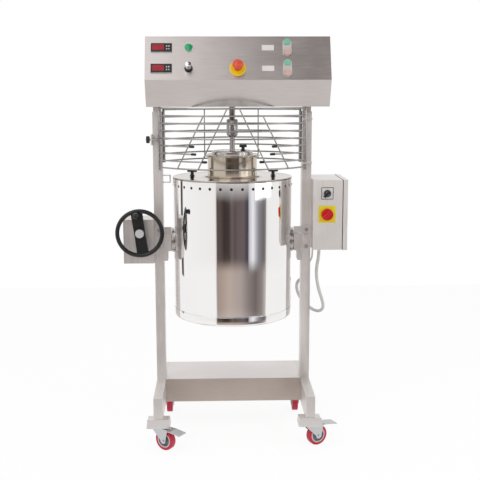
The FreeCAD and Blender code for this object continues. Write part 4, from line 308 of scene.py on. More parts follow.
paper_mix = add(paper_tree, "ShaderNodeMixShader", {
    0: paper_share, 1: paper_shader.outputs[0], 2: paper_white.outputs[0]})
paper_out = next(node for node in paper_tree.nodes if node.type == "OUTPUT_MATERIAL")
paper_tree.links.new(paper_mix.outputs[0], paper_out.inputs["Surface"])
floor_mesh.materials.append(paper)
soft_lamp("key_lamp", (-1.3, -1.7, 2.5), (0.0, 0.0, 1.0), 2.5, 15)
soft_lamp("fill_lamp", (1.9, -1.2, 1.6), (0.0, 0.0, 0.8), 1.5, 7)
print("floor:", FLOOR_X * 2, "m wide; two soft lamps")

# %% [markdown]
# ## Metals
#
# The frame is 304 stainless sheet with a brushed finish: fine lines in one direction,
# drawn by an abrasive belt. They are about 0.2 mm apart, too fine to show from three
# metres, so the pattern here is as coarse as 0.9 mm across and 60 mm along. The lines
# vary the roughness and tilt the surface a little, which smears every reflection
# across them.

# %% Brushed sheet
LINE_WIDTH = 0.0009
LINE_LENGTH = 0.06
BLOTCH = 0.16


def brushed(name, along, colour="#ECE8E6", dark="#DCD7D4", roughness=(0.40, 0.52)):
    """Brushed stainless sheet whose lines run along one axis."""
    sizes = [LINE_LENGTH if axis == along else LINE_WIDTH for axis in "XYZ"]
    material, tree, shader = new_material(name, Metallic=1.0)
    lines = stretched_noise(tree, sizes, 3.0)
    handled = stretched_noise(tree, [BLOTCH] * 3, 1.0)
    both = math_node(tree, "MULTIPLY_ADD", handled, 0.5, )
    both.node.inputs[2].default_value = -0.25
    mixed = math_node(tree, "ADD", lines, both)
    tree.links.new(blend_colours(tree, spread_to(tree, mixed, 0.0, 1.0), dark, colour), shader.inputs["Base Color"])
    tree.links.new(spread_to(tree, mixed, *roughness), shader.inputs["Roughness"])
    bump = add(tree, "ShaderNodeBump", {"Strength": 0.22, "Distance": 0.00012, "Height": lines})
    tree.links.new(bump.outputs[0], shader.inputs["Normal"])
    return material


BOX_STEEL = brushed("pearl_finished_stainless", "Z", "#F6F3F1", "#E8E4E1", (0.50, 0.62))
BRUSHED = {axis: brushed(f"brushed_stainless_{axis.lower()}", axis) for axis in "XYZ"}
HEAD_BRUSHED = brushed("brushed_stainless_head", "X", "#D6D1CF", "#C6C0BD", (0.29, 0.38))
# A darker copy of the brushed sheet for the deck's front faces: painted shade, for the dark gap in front that they
# reflect.
DECK_FRONT_PAINTED_SHADE = brushed("brushed_stainless_deck", "X", "#C9BDB5", "#BBAFA7")
print("brushed stainless:", len(BRUSHED), "directions, and the finer grain of the head")

# %% [markdown]
# The kettle is mirror sheet: the same steel, polished until its lines are gone. What
# stays is a very slight waviness from rolling, a few centimetres across, and wiping
# marks that only show as small changes of gloss.

# %% Mirror sheet, drawn rod, turned and plated steel


def polished(name, colour, roughness, wave=0.05, wave_height=0.00003):
    """Polished metal with wiping marks and a slight waviness."""
    material, tree, shader = new_material(name, Metallic=1.0, Base_Color=linear(colour))
    wiped = stretched_noise(tree, [0.03, 0.03, 0.12], 3.0)
    tree.links.new(spread_to(tree, wiped, *roughness), shader.inputs["Roughness"])
    wavy = stretched_noise(tree, [wave, wave, wave * 6], 1.0)
    bump = add(tree, "ShaderNodeBump", {"Strength": 0.5, "Distance": wave_height, "Height": wavy})
    tree.links.new(bump.outputs[0], shader.inputs["Normal"])
    return material


MIRROR = polished("mirror_stainless", "#F2F0EF", (0.03, 0.07))
LID_STEEL = polished("polished_lid_stainless", "#C2BBB6", (0.07, 0.14), wave=0.03)
# The collar's warm, darker tone is a painted reflection: it stands in for the warm, dark surroundings that its polished
# wall mirrors.
COLLAR_PAINTED_REFLECTION = polished("straw_polished_stainless", "#C2B6A6", (0.10, 0.18), wave=0.03)
ROD_STEEL = polished("drawn_stainless_rod", "#A9A6A5", (0.16, 0.26), wave=0.01)
TURNED_STEEL = polished("turned_steel", "#B4B0AE", (0.18, 0.30), wave=0.01)
ZINC = polished("zinc_plated_steel", "#C6C7C9", (0.24, 0.36), wave=0.012)
BRONZE = polished("gear_bronze", "#B08A4C", (0.25, 0.38), wave=0.01)
HEATER = polished("heater_sheath", "#5A5552", (0.35, 0.5), wave=0.01)
CHROME = polished("chromed_ring", "#DADADC", (0.05, 0.1), wave=0.01)
print("polished metals: 9")

# %% [markdown]
# ## Plastics and rubber
#
# Knobs and the handwheel are black thermoset, pressed in a mould: dense, slightly
# pebbled and half glossy. Buttons are clear-coloured acrylic or ABS, the tyres are cast
# polyurethane and the hose is PVC. All of them are dielectrics, so only the colour,
# the roughness and the grain change.

# %% Moulded materials


def moulded(name, colour, shade, roughness, grain=0.0012, depth=0.00004, **shader_inputs):
    """A moulded plastic or rubber with a fine pebbled skin."""
    material, tree, shader = new_material(name, **shader_inputs)
    pebbles = stretched_noise(tree, [grain] * 3, 2.0)
    cloud = stretched_noise(tree, [0.02] * 3, 2.0)
    tree.links.new(blend_colours(tree, spread_to(tree, cloud, 0.0, 1.0), shade, colour), shader.inputs["Base Color"])
    tree.links.new(spread_to(tree, pebbles, *roughness), shader.inputs["Roughness"])
    bump = add(tree, "ShaderNodeBump", {"Strength": 0.4, "Distance": depth, "Height": pebbles})
    tree.links.new(bump.outputs[0], shader.inputs["Normal"])
    return material


BLACK = moulded("black_thermoset", "#1B1B1D", "#141416", (0.28, 0.42))
BLACK_ABS = moulded("black_abs", "#1E2024", "#16181B", (0.30, 0.45))
GASKET = moulded("black_gasket_rubber", "#1A1A1A", "#121212", (0.55, 0.7))
GREEN = moulded("green_acrylic", "#12B070", "#0E9C62", (0.12, 0.22), Coat_Weight=0.5)
RED_MUSHROOM = moulded("red_abs_mushroom", "#F0603F", "#E4523A", (0.22, 0.34))
YELLOW = moulded("yellow_abs", "#FFDC18", "#F6CE10", (0.3, 0.42))
SWITCH_YELLOW = moulded("yellow_switch_plate", "#F7EA10", "#EEDD0A", (0.35, 0.5))
SWITCH_RED = moulded("red_switch_knob", "#E2141E", "#CE0F18", (0.18, 0.3))
PALE = moulded("pale_polycarbonate", "#D9D2CB", "#CEC6BF", (0.25, 0.4))
TAG_WHITE = moulded("white_legend_sheet", "#F3EEEE", "#ECE6E6", (0.4, 0.55))
KEY_GREEN = moulded("green_key", "#86D2B5", "#78C8AA", (0.25, 0.4))
KEY_RED = moulded("red_key", "#E4BFB8", "#DCB3AB", (0.25, 0.4))
DISPLAY_RED = moulded("red_display_window", "#B40F2A", "#9E0B22", (0.3, 0.4))
TYRE = moulded("red_polyurethane_tyre", "#D9304E", "#CC2846", (0.35, 0.5))
RING_WHITE = moulded("white_wheel_ring", "#F0E4E6", "#E6D8DB", (0.4, 0.55))
CORE_GREY = moulded("grey_wheel_core", "#9D9C9F", "#8E8D90", (0.35, 0.5))
NYLON = moulded("grey_nylon_gland", "#A9ABAD", "#9DA0A2", (0.35, 0.5))
PVC = moulded("white_pvc_hose", "#ECEAE8", "#E2E0DE", (0.32, 0.46), grain=0.002)
PTFE = moulded("white_ptfe", "#E9E7DF", "#DFDCD3", (0.45, 0.6))
MOTOR_PAINT = moulded("grey_motor_enamel", "#4A4F57", "#41454C", (0.4, 0.55))
RELAY_GREY = moulded("grey_switchgear", "#56595D", "#4A4D51", (0.45, 0.6))
SWITCH_GREY = moulded("grey_switch_face", "#77757B", "#6A686E", (0.3, 0.45))
CAP_GREY = moulded("light_grey_cap", "#D5D5D3", "#CBCBC9", (0.35, 0.5))
print("moulded materials: 23")

# %% [markdown]
# ## Surfaces as formulas
#
# Turned parts are a profile carried round an axis, bent rods are a circle carried
# along a path. Both are grids of points worked out as whole arrays. Sheet parts come
# from the frame: their own mesh is copied, its loose triangles are merged into flat
# faces, and a small bevel gives each fold and edge the highlight that real sheet has.

# %% Grids, turning and sweeping


def grid_faces(rows, columns, wrap_rows, wrap_columns):
    """Quads between neighbours of a grid of rows and columns, wrapped where asked."""
    row, column = np.meshgrid(np.arange(rows - (not wrap_rows)), np.arange(columns - (not wrap_columns)),
                              indexing="ij")
    above = (row + 1) % rows
    beside = (column + 1) % columns
    corners = [row * columns + column, row * columns + beside, above * columns + beside, above * columns + column]
    return np.stack(corners, axis=-1).reshape(-1, 4)


def rounded(profile, radius, steps=4):
    """Each inner corner becomes a short parabola that starts and ends radius from it."""
    profile = np.array(profile, float)
    closed = profile[0][0] > 1e-6 or profile[-1][0] > 1e-6
    count = len(profile)
    share = np.linspace(0, 1, steps + 1)[:, None]
    out = []
    for index in range(count):
        corner = profile[index]
        if not closed and index in (0, count - 1):
            out.append(corner[None])
            continue
        back = profile[index - 1] - corner
        ahead = profile[(index + 1) % count] - corner
        back_length, ahead_length = np.linalg.norm(back), np.linalg.norm(ahead)
        reach = min(radius, 0.45 * back_length, 0.45 * ahead_length)
        start = corner + back / back_length * reach
        end = corner + ahead / ahead_length * reach
        out.append((1 - share) ** 2 * start + 2 * share * (1 - share) * corner + share ** 2 * end)
    return np.concatenate(out)


def axes_for(axis):
    """Two unit vectors square to an axis, and the axis itself."""
    axis = np.array(axis, float) / np.linalg.norm(axis)
    helper = np.array([0.0, 0.0, 1.0]) if abs(axis[2]) < 0.9 else np.array([1.0, 0.0, 0.0])
    side = np.cross(helper, axis)
    side /= np.linalg.norm(side)
    return side, np.cross(axis, side), axis


def revolve(profile, centre, axis=(0, 0, 1), corner=0.001, steps=96):
    """A (radius, height) profile carried round an axis: centre + radius (a cos + b sin) + height axis."""
    line = rounded(profile, corner)
    closed = line[0][0] > 1e-6 or line[-1][0] > 1e-6
    a, b, c = axes_for(axis)
    angle = np.linspace(0, 2 * np.pi, steps, endpoint=False)
    ring = np.cos(angle)[:, None] * a + np.sin(angle)[:, None] * b
    points = np.array(centre, float) + line[:, 0, None, None] * ring + line[:, 1, None, None] * c
    return points.reshape(-1, 3), grid_faces(len(line), steps, closed, True)


def sweep(path, radius, steps=14, round_ends=3, up=(0, 0, 1)):
    """A circle carried along a path, with half-round ends, closed if the path is."""
    path = np.array(path, float)
    closed = np.allclose(path[0], path[-1])
    if closed:
        path = path[:-1]
        ahead = np.roll(path, -1, axis=0) - np.roll(path, 1, axis=0)
    else:
        ahead = np.gradient(path, axis=0)
    ahead /= np.linalg.norm(ahead, axis=1, keepdims=True)
    side = np.cross(np.array(up, float), ahead)
    side /= np.linalg.norm(side, axis=1, keepdims=True)
    over = np.cross(ahead, side)
    size = np.full(len(path), float(radius))
    if not closed and round_ends:
        bend = np.linspace(0, np.pi / 2, round_ends + 1)[1:]
        tail = path[0] - np.sin(bend[::-1])[:, None] * radius * ahead[0]
        nose = path[-1] + np.sin(bend)[:, None] * radius * ahead[-1]
        path = np.concatenate([tail, path, nose])
        size = np.concatenate([radius * np.cos(bend[::-1]), size, radius * np.cos(bend)])
        side = np.concatenate([np.repeat(side[:1], round_ends, 0), side, np.repeat(side[-1:], round_ends, 0)])
        over = np.concatenate([np.repeat(over[:1], round_ends, 0), over, np.repeat(over[-1:], round_ends, 0)])
    angle = np.linspace(0, 2 * np.pi, steps, endpoint=False)
    ring = np.cos(angle)[None, :, None] * side[:, None] + np.sin(angle)[None, :, None] * over[:, None]
    points = path[:, None] + size[:, None, None] * ring
    return points.reshape(-1, 3), grid_faces(len(path), steps, closed, True)


print("surfaces: grid, turning, sweeping")

# %% Making pieces


def finish_mesh(mesh, smooth_degrees):
    """Close poles, point faces outwards and shade round stretches smooth."""
    work = bmesh.new()
    work.from_mesh(mesh)
    bmesh.ops.remove_doubles(work, verts=work.verts, dist=1e-6)
    bmesh.ops.dissolve_degenerate(work, edges=work.edges, dist=1e-7)
    bmesh.ops.recalc_face_normals(work, faces=work.faces)
    work.to_mesh(mesh)
    work.free()
    mesh.shade_smooth()
    mesh.set_sharp_from_angle(angle=math.radians(smooth_degrees))


def piece(name, parts, body, materials, replaces=(), smooth=38):
    """One object from (points, faces) parts; part i has the material of the same place, or the last."""
    mesh = bpy.data.meshes.new(name)
    offsets = np.cumsum([0] + [len(points) for points, faces in parts])
    points = np.concatenate([points for points, faces in parts])
    faces = np.concatenate([faces + start for (_, faces), start in zip(parts, offsets)])
    which = np.concatenate([np.full(len(faces_), min(index, len(materials) - 1))
                            for index, (_, faces_) in enumerate(parts)])
    mesh.from_pydata(points.tolist(), [], faces.tolist())
    for material in materials:
        mesh.materials.append(material)
    mesh.polygons.foreach_set("material_index", which.astype(np.int32))
    finish_mesh(mesh, smooth)
    made = bpy.data.objects.new(name, mesh)
    bpy.context.scene.collection.objects.link(made)
    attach(made, body)
    if replaces:
        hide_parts(*replaces)
    return made


BODY_OF = {name: made["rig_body"] for name, made in frame["nodes"].items()}


def softened(node, materials, bevel=0.0008, choose=None, smooth=38):
    """A copy of a node's mesh with merged faces and a small bevel; choose gives each face's material."""
    source = frame["nodes"][node].data
    mesh = source.copy()
    mesh.name = node + "_finish"
    work = bmesh.new()
    work.from_mesh(mesh)
    bmesh.ops.remove_doubles(work, verts=work.verts, dist=2e-6)
    bmesh.ops.dissolve_limit(work, angle_limit=math.radians(0.5), verts=work.verts, edges=work.edges)
    work.to_mesh(mesh)
    work.free()
    mesh.materials.clear()
    for material in materials:
        mesh.materials.append(material)
    centres = np.zeros(len(mesh.polygons) * 3)
    mesh.polygons.foreach_get("center", centres)
    which = choose(centres.reshape(-1, 3)) if choose else np.zeros(len(mesh.polygons))
    mesh.polygons.foreach_set("material_index", np.asarray(which).astype(np.int32))
    mesh.shade_smooth()
    mesh.set_sharp_from_angle(angle=math.radians(smooth))
    made = bpy.data.objects.new(node + "_finish", mesh)
    bpy.context.scene.collection.objects.link(made)
    if bevel:
        edge = made.modifiers.new("edge", "BEVEL")
        edge.width = bevel
        edge.segments = 2
        edge.limit_method = "ANGLE"
        edge.angle_limit = math.radians(smooth)
        edge.harden_normals = True
        edge.use_clamp_overlap = True
    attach(made, BODY_OF[node])
    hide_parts(node)
    return made


print("piece makers ready")

# %% [markdown]
# ## Hose and cable
#
# A white hose leaves the control box downwards, makes one loop and goes back to the
# right post. A thin cable does the same higher up. Each is a smooth spline that
# follows the route of its solid in the frame, so its length is right.

# %% Hose and cable
KETTLE_Y = JOINT["kettle_tilt"]["pos_m"][1]
HOSE_POINTS = [
    (345, 20, 725), (345, 20, 692), (336, 22, 648), (338, 26, 600), (348, 33, 555), (362, 46, 515),
    (372, 66, 482), (371, 90, 457), (356, 113, 443), (331, 132, 449), (302, 143, 474), (277, 140, 508),
    (266, 123, 545), (268, 96, 576), (282, 66, 594), (282, 30, 594),
]
CABLE_POINTS = [
    (324, 62, 725), (324, 62, 702), (323, 67, 679), (313, 72, 660), (303, 68, 645), (295, 59, 636),
    (290, 45, 631), (290, 30, 631),
]


def cord(name, points, radius, node):
    """A round cord: a NURBS line through its route's points, in metres from the kettle axis."""
    data = bpy.data.curves.new(name, "CURVE")
    data.dimensions = "3D"
    spline = data.splines.new("NURBS")
    spline.points.add(len(points) - 1)
    places = np.array(points, float) / 1000 + [0, KETTLE_Y, 0]
    for point, place in zip(spline.points, places):
        point.co = (*place, 1.0)
    spline.order_u = 3
    spline.use_endpoint_u = True
    spline.resolution_u = 12
    data.bevel_depth = radius
    data.bevel_resolution = 5
    data.use_fill_caps = True
    data.materials.append(PVC)
    made = bpy.data.objects.new(name, data)
    bpy.context.scene.collection.objects.link(made)
    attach(made, BODY_OF[node])
    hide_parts(node)
    return made


cord("supply_hose_run", HOSE_POINTS, 0.0065, "supply_hose")
cord("sensor_cable_run", CABLE_POINTS, 0.0035, "sensor_cable")
print("cords: hose", len(HOSE_POINTS), "points, cable", len(CABLE_POINTS), "points")

# %% [markdown]
# ## Kettle
#
# The jacket is one rolled sheet with a folded rim, the base pan is pressed, and both
# are polished. They are turned here from the same profile as in the frame, with many
# steps, because a mirror shows every facet.

# %% Kettle jacket and base pan
jacket_low, jacket_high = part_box("kettle_jacket")
base_low, base_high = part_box("kettle_base")
JACKET_RADIUS = jacket_high.x
JACKET_WALL = 0.002
BASE_HEIGHT = 0.035
BASE_ROUND = 0.010
BOWL_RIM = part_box("kettle_bowl")[1].z
AXIS_FOOT = (0.0, KETTLE_Y, 0.0)
MIRROR_STEPS = 256


def quarter(centre, radius, start, end, steps=8):
    """Points of a round stretch about a centre, from a start angle to an end angle in degrees."""
    angle = np.radians(np.linspace(start, end, steps))
    return [(centre[0] + radius * math.cos(a), centre[1] + radius * math.sin(a)) for a in angle]


inner = JACKET_RADIUS - JACKET_WALL
jacket_profile = [
    (inner, jacket_low.z), (JACKET_RADIUS, jacket_low.z), (JACKET_RADIUS, jacket_high.z),
    (0.2083, jacket_high.z), (0.2083, jacket_high.z - JACKET_WALL), (inner, jacket_high.z - JACKET_WALL),
]
piece("kettle_jacket_mirror", [revolve(jacket_profile, AXIS_FOOT, corner=0.0008, steps=MIRROR_STEPS)],
      "kettle", [MIRROR], ["kettle_jacket"])
pan_lip = inner - 0.0003
pan_profile = [(0.0, base_low.z)]
pan_profile += quarter((JACKET_RADIUS - BASE_ROUND, base_low.z + BASE_ROUND), BASE_ROUND, -90, 0)
pan_profile += [
    (JACKET_RADIUS, base_low.z + BASE_HEIGHT), (pan_lip, base_low.z + BASE_HEIGHT),
    (pan_lip, base_high.z), (pan_lip - JACKET_WALL, base_high.z),
    (pan_lip - JACKET_WALL, base_low.z + BASE_ROUND), (pan_lip - BASE_ROUND, base_low.z + JACKET_WALL),
    (0.0, base_low.z + JACKET_WALL),
]
piece("kettle_base_mirror", [revolve(pan_profile, AXIS_FOOT, corner=0.0006, steps=MIRROR_STEPS)],
      "kettle", [MIRROR], ["kettle_base"])
print(f"kettle: radius {JACKET_RADIUS:.3f} m, jacket {jacket_high.z - jacket_low.z:.3f} m high")

# %% Rivets under the rim
RIVET_STEP = 10.0
RIVET_DROP = 0.022
RIVET_COUNT = 36
RIVET_PHASE = -2.0
RIVET_RADIUS = 0.0055
RIVET_RISE = 0.0016
rivets = []
for index in range(RIVET_COUNT):
    way = math.radians(-90 + RIVET_STEP * index + RIVET_PHASE)
    out = np.array([math.cos(way), math.sin(way), 0.0])
    centre = np.array([0.0, KETTLE_Y, jacket_high.z - RIVET_DROP]) + out * (JACKET_RADIUS - 0.0004)
    rivets.append(revolve([(0.0, 0.0), (RIVET_RADIUS, 0.0), (RIVET_RADIUS, 0.0006), (0.0, RIVET_RISE)],
                          centre, out, corner=0.0009, steps=16))
piece("jacket_rivets", rivets, "kettle", [BLACK])
print("rivets:", len(rivets))

# %% [markdown]
# ## Lid, feed collar and knobs
#
# The lid is a flat disc with a rolled edge. The feed collar stands on it, with a flange
# at each end, and its cover has a raised middle. Star knobs are pressed in black
# thermoset: five lobes about a core, with a domed top.

# %% Lid and collar
lid_low, lid_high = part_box("kettle_lid")
collar_low, collar_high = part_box("lid_collar")
THROAT, THROAT_WALL, FLANGE, FLANGE_THICK = 0.096, 0.002, 0.012, 0.003
throat_in = THROAT - THROAT_WALL
flange_out = THROAT + FLANGE
edge_mid = (lid_low.z + lid_high.z) / 2
edge_half = (lid_high.z - lid_low.z) / 2
lid_profile = [(throat_in, lid_low.z), (JACKET_RADIUS - edge_half, lid_low.z)]
lid_profile += quarter((JACKET_RADIUS - edge_half, edge_mid), edge_half, -80, 80, 6)
lid_profile += [
    (JACKET_RADIUS - edge_half, lid_high.z), (JACKET_RADIUS - 0.008, lid_high.z),
    (JACKET_RADIUS - 0.010, lid_high.z - 0.001), (flange_out + FLANGE, lid_high.z - 0.001),
    (flange_out + FLANGE - 0.002, lid_high.z), (throat_in, lid_high.z),
]
piece("kettle_lid_polished", [revolve(lid_profile, AXIS_FOOT, corner=0.0005, steps=MIRROR_STEPS)],
      "kettle", [LID_STEEL], ["kettle_lid"])
collar_profile = [
    (throat_in, lid_high.z), (flange_out, lid_high.z), (flange_out, lid_high.z + FLANGE_THICK),
    (THROAT, lid_high.z + FLANGE_THICK), (THROAT, collar_high.z - FLANGE_THICK),
    (flange_out, collar_high.z - FLANGE_THICK), (flange_out, collar_high.z), (throat_in, collar_high.z),
]
piece("lid_collar_polished", [revolve(collar_profile, AXIS_FOOT, corner=0.0012, steps=MIRROR_STEPS)],
      "kettle", [COLLAR_PAINTED_REFLECTION], ["lid_collar"])
print(f"collar: {collar_high.z - lid_high.z:.3f} m high")


def star(centre, axis, radius, lobe, low, high, lobes=5, steps=120):
    """A star grip: radius swells by a cosine per lobe, height follows a rounded profile."""
    a, b, c = axes_for(axis)
    angle = np.linspace(0, 2 * np.pi, steps, endpoint=False)
    swell = radius - lobe * 0.42 * (1 - np.cos(lobes * angle)) / 2
    dome = (high - low) * 0.12
    line = rounded([(0, low), (0.86, low), (1.0, low + dome), (1.0, high - dome), (0.84, high), (0, high + dome)],
                   (high - low) * 0.3)
    ring = np.cos(angle)[:, None] * a + np.sin(angle)[:, None] * b
    reach = line[:, 0, None] * swell
    points = np.array(centre, float) + reach[..., None] * ring + line[:, 1, None, None] * c
    return points.reshape(-1, 3), grid_faces(len(line), steps, False, True)


def star_knob(foot, axis, radius, lobe, height, grip):
    """Washer and neck as one part, and the star grip: the two parts of a knob."""
    neck = revolve([(0, 0), (0.010, 0), (0.010, 0.003), (0.0068, 0.004), (0.0062, height - grip), (0, height - grip)],
                   foot, axis, 0.0008, 48)
    return [neck, star(foot, axis, radius, lobe, height - grip, height - grip * 0.14)]


# %% Cover and star knobs
cover_low, cover_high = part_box("collar_cover")
COVER_RADIUS, COVER_PLATE, COVER_TOP, COVER_BORE = 0.080, 0.003, 0.019, 0.014
cover_profile = [
    (COVER_BORE, cover_low.z), (throat_in + FLANGE, cover_low.z), (throat_in + FLANGE, cover_low.z + COVER_PLATE),
    (COVER_RADIUS, cover_low.z + COVER_PLATE), (COVER_RADIUS, cover_low.z + COVER_TOP - 0.006),
]
cover_profile += quarter((COVER_RADIUS - 0.006, cover_low.z + COVER_TOP - 0.006), 0.006, 10, 90, 6)
cover_profile += [(COVER_BORE, cover_low.z + COVER_TOP)]
cover = revolve(cover_profile, AXIS_FOOT, corner=0.0006, steps=160)
cover_top = cover_low.z + COVER_TOP
cover_knob = star_knob((0.042, KETTLE_Y, cover_top - 0.0015), (0, 0, 1), 0.015, 0.006, 0.025, 0.012)
piece("collar_cover_polished", [cover] + cover_knob, "collar_cover", [LID_STEEL, BLACK],
      ["collar_cover"])
for word in ("left", "right"):
    low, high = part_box(f"lid_knob_{word}")
    middle = (low.x + high.x) / 2
    stud = revolve([(0, 0), (0.006, 0), (0.006, 0.006), (0, 0.006)], (middle, KETTLE_Y, low.z), corner=0.0004, steps=32)
    knob = star_knob((middle, KETTLE_Y, high.z - 0.028), (0, 0, 1), 0.020, 0.006, 0.028, 0.012)
    piece(f"lid_knob_{word}_grip", [stud] + knob, f"lid_knob_{word}", [BLACK],
          [f"lid_knob_{word}"])
print("cover and lid knobs made")

# %% [markdown]
# ## Frame and head
#
# Posts, legs, deck and head are folded sheet and tube with real bends of one to two
# millimetres. Their meshes come from the frame and only get their bevels. The brushing
# runs along each part: up the posts, across the head, back along the legs.

# %% Frame and head
DECK_FOLD = 0.004
for name, axis, bevel in (
        ("side_legs", "Y", 0.0016), ("caster_mounts", "Z", 0.0008),
        ("upright_left", "Z", 0.0016), ("upright_right", "Z", 0.0016), ("head_housing", "X", 0.0014),
        ("head_rear_cover", "X", 0.0008), ("worm_housing", "Z", 0.0014), ("bearing_blocks", "Z", 0.0008),
        ("agitator_frame", "Z", 0.0008)):
    softened(name, [HEAD_BRUSHED if name == "head_housing" else BRUSHED[axis]], bevel)
# Faces in front of this plane take the darker copy of the sheet: painted shade on the deck's front.
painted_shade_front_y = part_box("base_deck")[0].y + DECK_FOLD
softened("base_deck", [BRUSHED["X"], DECK_FRONT_PAINTED_SHADE], 0.0012, lambda centres: (centres[:, 1] < painted_shade_front_y).astype(int))
for name, material in (
        ("frame_bolts", ZINC), ("drive_shaft", TURNED_STEEL), ("agitator_shaft", TURNED_STEEL),
        ("trunnion_left", TURNED_STEEL), ("trunnion_right", TURNED_STEEL), ("worm_shaft", TURNED_STEEL),
        ("worm_wheel", BRONZE), ("drive_motor", MOTOR_PAINT), ("kettle_bowl", LID_STEEL),
        ("heating_elements", HEATER), ("scraper_blades", PTFE), ("switch_gear", RELAY_GREY)):
    softened(name, [material], 0.0)
print("frame and head finished")

# %% [markdown]
# ## Guard
#
# The guard is bent from 6 mm stainless rod, with upright bars at its ends and straight
# ribs across it. Each level rod is an arc of a large circle. The cut rods at the feed
# window end in black caps.

# %% Guard gate
GATE_X, GATE_FRONT, GATE_BULGE = 0.279, 0.045, 0.200
GATE_LOW, GATE_STEP, GATE_RODS, REAR_RODS = 1.058, 0.0279, 9, 8
WIRE, BAR, RIB = 0.003, 0.005, 0.0025
CAP_LENGTH, CAP_RADIUS = 0.012, 0.0048
WINDOWS = {1: 0.100, 2: 0.140, 3: 0.147}
BAR_OVER = 0.0042
gate_rise = GATE_BULGE - GATE_FRONT
gate_round = (GATE_X ** 2 + gate_rise ** 2) / (2 * gate_rise)
gate_centre = KETTLE_Y - GATE_BULGE + gate_round
gate_half = math.asin(GATE_X / gate_round)
GATE_TOP = GATE_LOW + GATE_STEP * (GATE_RODS - 1)


def level_arc(radius, centre_y, height, start, end, facing, steps=72):
    """Points at angle t from straight ahead: x = radius sin t, y = centre + facing radius cos t."""
    angle = np.linspace(start, end, steps)
    return np.stack([radius * np.sin(angle), centre_y + facing * radius * np.cos(angle),
                     np.full(steps, height)], axis=1)


gate_parts = []
gate_caps = []
for index in range(GATE_RODS):
    height = GATE_LOW + GATE_STEP * index
    if index not in WINDOWS:
        gate_parts.append(sweep(level_arc(gate_round, gate_centre, height, -gate_half, gate_half, -1), WIRE))
        continue
    opening = math.asin(WINDOWS[index] / gate_round)
    cap_end = math.asin((WINDOWS[index] + CAP_LENGTH) / gate_round)
    for side in (-1, 1):
        gate_parts.append(sweep(level_arc(gate_round, gate_centre, height, side * opening, side * gate_half, -1), WIRE))
        gate_caps.append(sweep(level_arc(gate_round, gate_centre, height, side * opening, side * cap_end, -1, 8),
                               CAP_RADIUS))
stand = gate_round + WIRE + RIB - 0.0015
for side in (-1, 1):
    for top_x, foot_x, top_z in ((0.022, 0.130, GATE_TOP), (0.109, 0.208, GATE_TOP - GATE_STEP)):
        ends = [(side * x, gate_centre - math.sqrt(stand ** 2 - x ** 2), z)
                for x, z in ((top_x, top_z), (foot_x, GATE_LOW))]
        gate_parts.append(sweep(np.linspace(*np.array(ends), 6), RIB, up=(0, 1, 0)))
    bar_x = side * GATE_X
    bar_ends = np.array([(bar_x, KETTLE_Y - GATE_FRONT, GATE_LOW - 0.010), (bar_x, KETTLE_Y - GATE_FRONT, GATE_TOP + BAR_OVER)])
    gate_parts.append(revolve([(0, 0), (BAR, 0), (BAR, bar_ends[1][2] - bar_ends[0][2]), (0, bar_ends[1][2] - bar_ends[0][2])],
                              bar_ends[0], corner=0.001, steps=24))
ring_low = GATE_LOW + GATE_STEP / 2 + 0.0028
gate_parts.append(revolve([(0.0045, 0), (0.008, 0), (0.008, 0.005), (0.0045, 0.005)],
                          (GATE_X, KETTLE_Y - GATE_FRONT, ring_low), corner=0.0006, steps=32))
piece("guard_gate_rods", gate_parts, "gate", [ROD_STEEL], ["guard_gate"])
piece("guard_rod_caps", gate_caps, "gate", [BLACK])
print("gate:", len(gate_parts), "rods and bars,", len(gate_caps), "caps")

# %% Guard rear
BACK_X, BACK_BULGE, BACK_FOOT = 0.265, 0.186, 0.020
BACK_LOW, BACK_STEP, BACK_RIB = 1.076, 0.0283, 0.109
back_rise = BACK_BULGE - BACK_FOOT
back_round = (BACK_X ** 2 + back_rise ** 2) / (2 * back_rise)
back_centre = KETTLE_Y + BACK_BULGE - back_round
back_half = math.asin(BACK_X / back_round)
back_top = BACK_LOW + BACK_STEP * (REAR_RODS - 1)
back_parts = [sweep(level_arc(back_round, back_centre, BACK_LOW + BACK_STEP * index, -back_half, back_half, 1), WIRE)
              for index in range(REAR_RODS)]
for side in (-1, 1):
    rib_y = back_centre + math.sqrt(back_round ** 2 - BACK_RIB ** 2) + WIRE
    for x, y, low, high, radius in (
            (side * BACK_X, KETTLE_Y + BACK_FOOT, BACK_LOW - BAR, back_top + BAR, BAR),
            (side * BACK_RIB, rib_y, BACK_LOW, back_top, RIB)):
        back_parts.append(revolve([(0, 0), (radius, 0), (radius, high - low), (0, high - low)], (x, y, low),
                                  corner=0.001, steps=24))
piece("guard_rear_rods", back_parts, "frame", [ROD_STEEL], ["guard_rear"])
print("rear guard:", len(back_parts), "rods and bars")

# %% [markdown]
# ## Handwheel
#
# A black pressed wheel: a round rim, one broad plate across it, a pale cap over the
# shaft end, and a crank handle that turns on its own pin.

# %% Handwheel and crank
HAND_X, _, HAND_Z = JOINT["handwheel_turn"]["pos_m"]
RIM_RADIUS, RIM_SECTION = 0.085, 0.008
WHEEL_Y = KETTLE_Y - 0.110
FRONT = (0, -1, 0)
wheel_centre = (HAND_X, WHEEL_Y, HAND_Z)
angle = np.linspace(0, 2 * np.pi, 145)
rim_path = np.stack([HAND_X + RIM_RADIUS * np.cos(angle), np.full(145, WHEEL_Y), HAND_Z + RIM_RADIUS * np.sin(angle)], 1)
rim_path[-1] = rim_path[0]
rim = sweep(rim_path, RIM_SECTION, steps=28, up=(0, 1, 0))
hub = revolve([(0.0081, -0.013), (0.020, -0.013), (0.020, 0.011), (0.0081, 0.011)], wheel_centre, FRONT, 0.0015, 64)
cap = revolve([(0, 0.010), (0.0165, 0.010), (0.0165, 0.0125), (0, 0.0135)], wheel_centre, FRONT, 0.0012, 64)
crank_x, _, crank_z = JOINT["crank_spin"]["pos_m"]
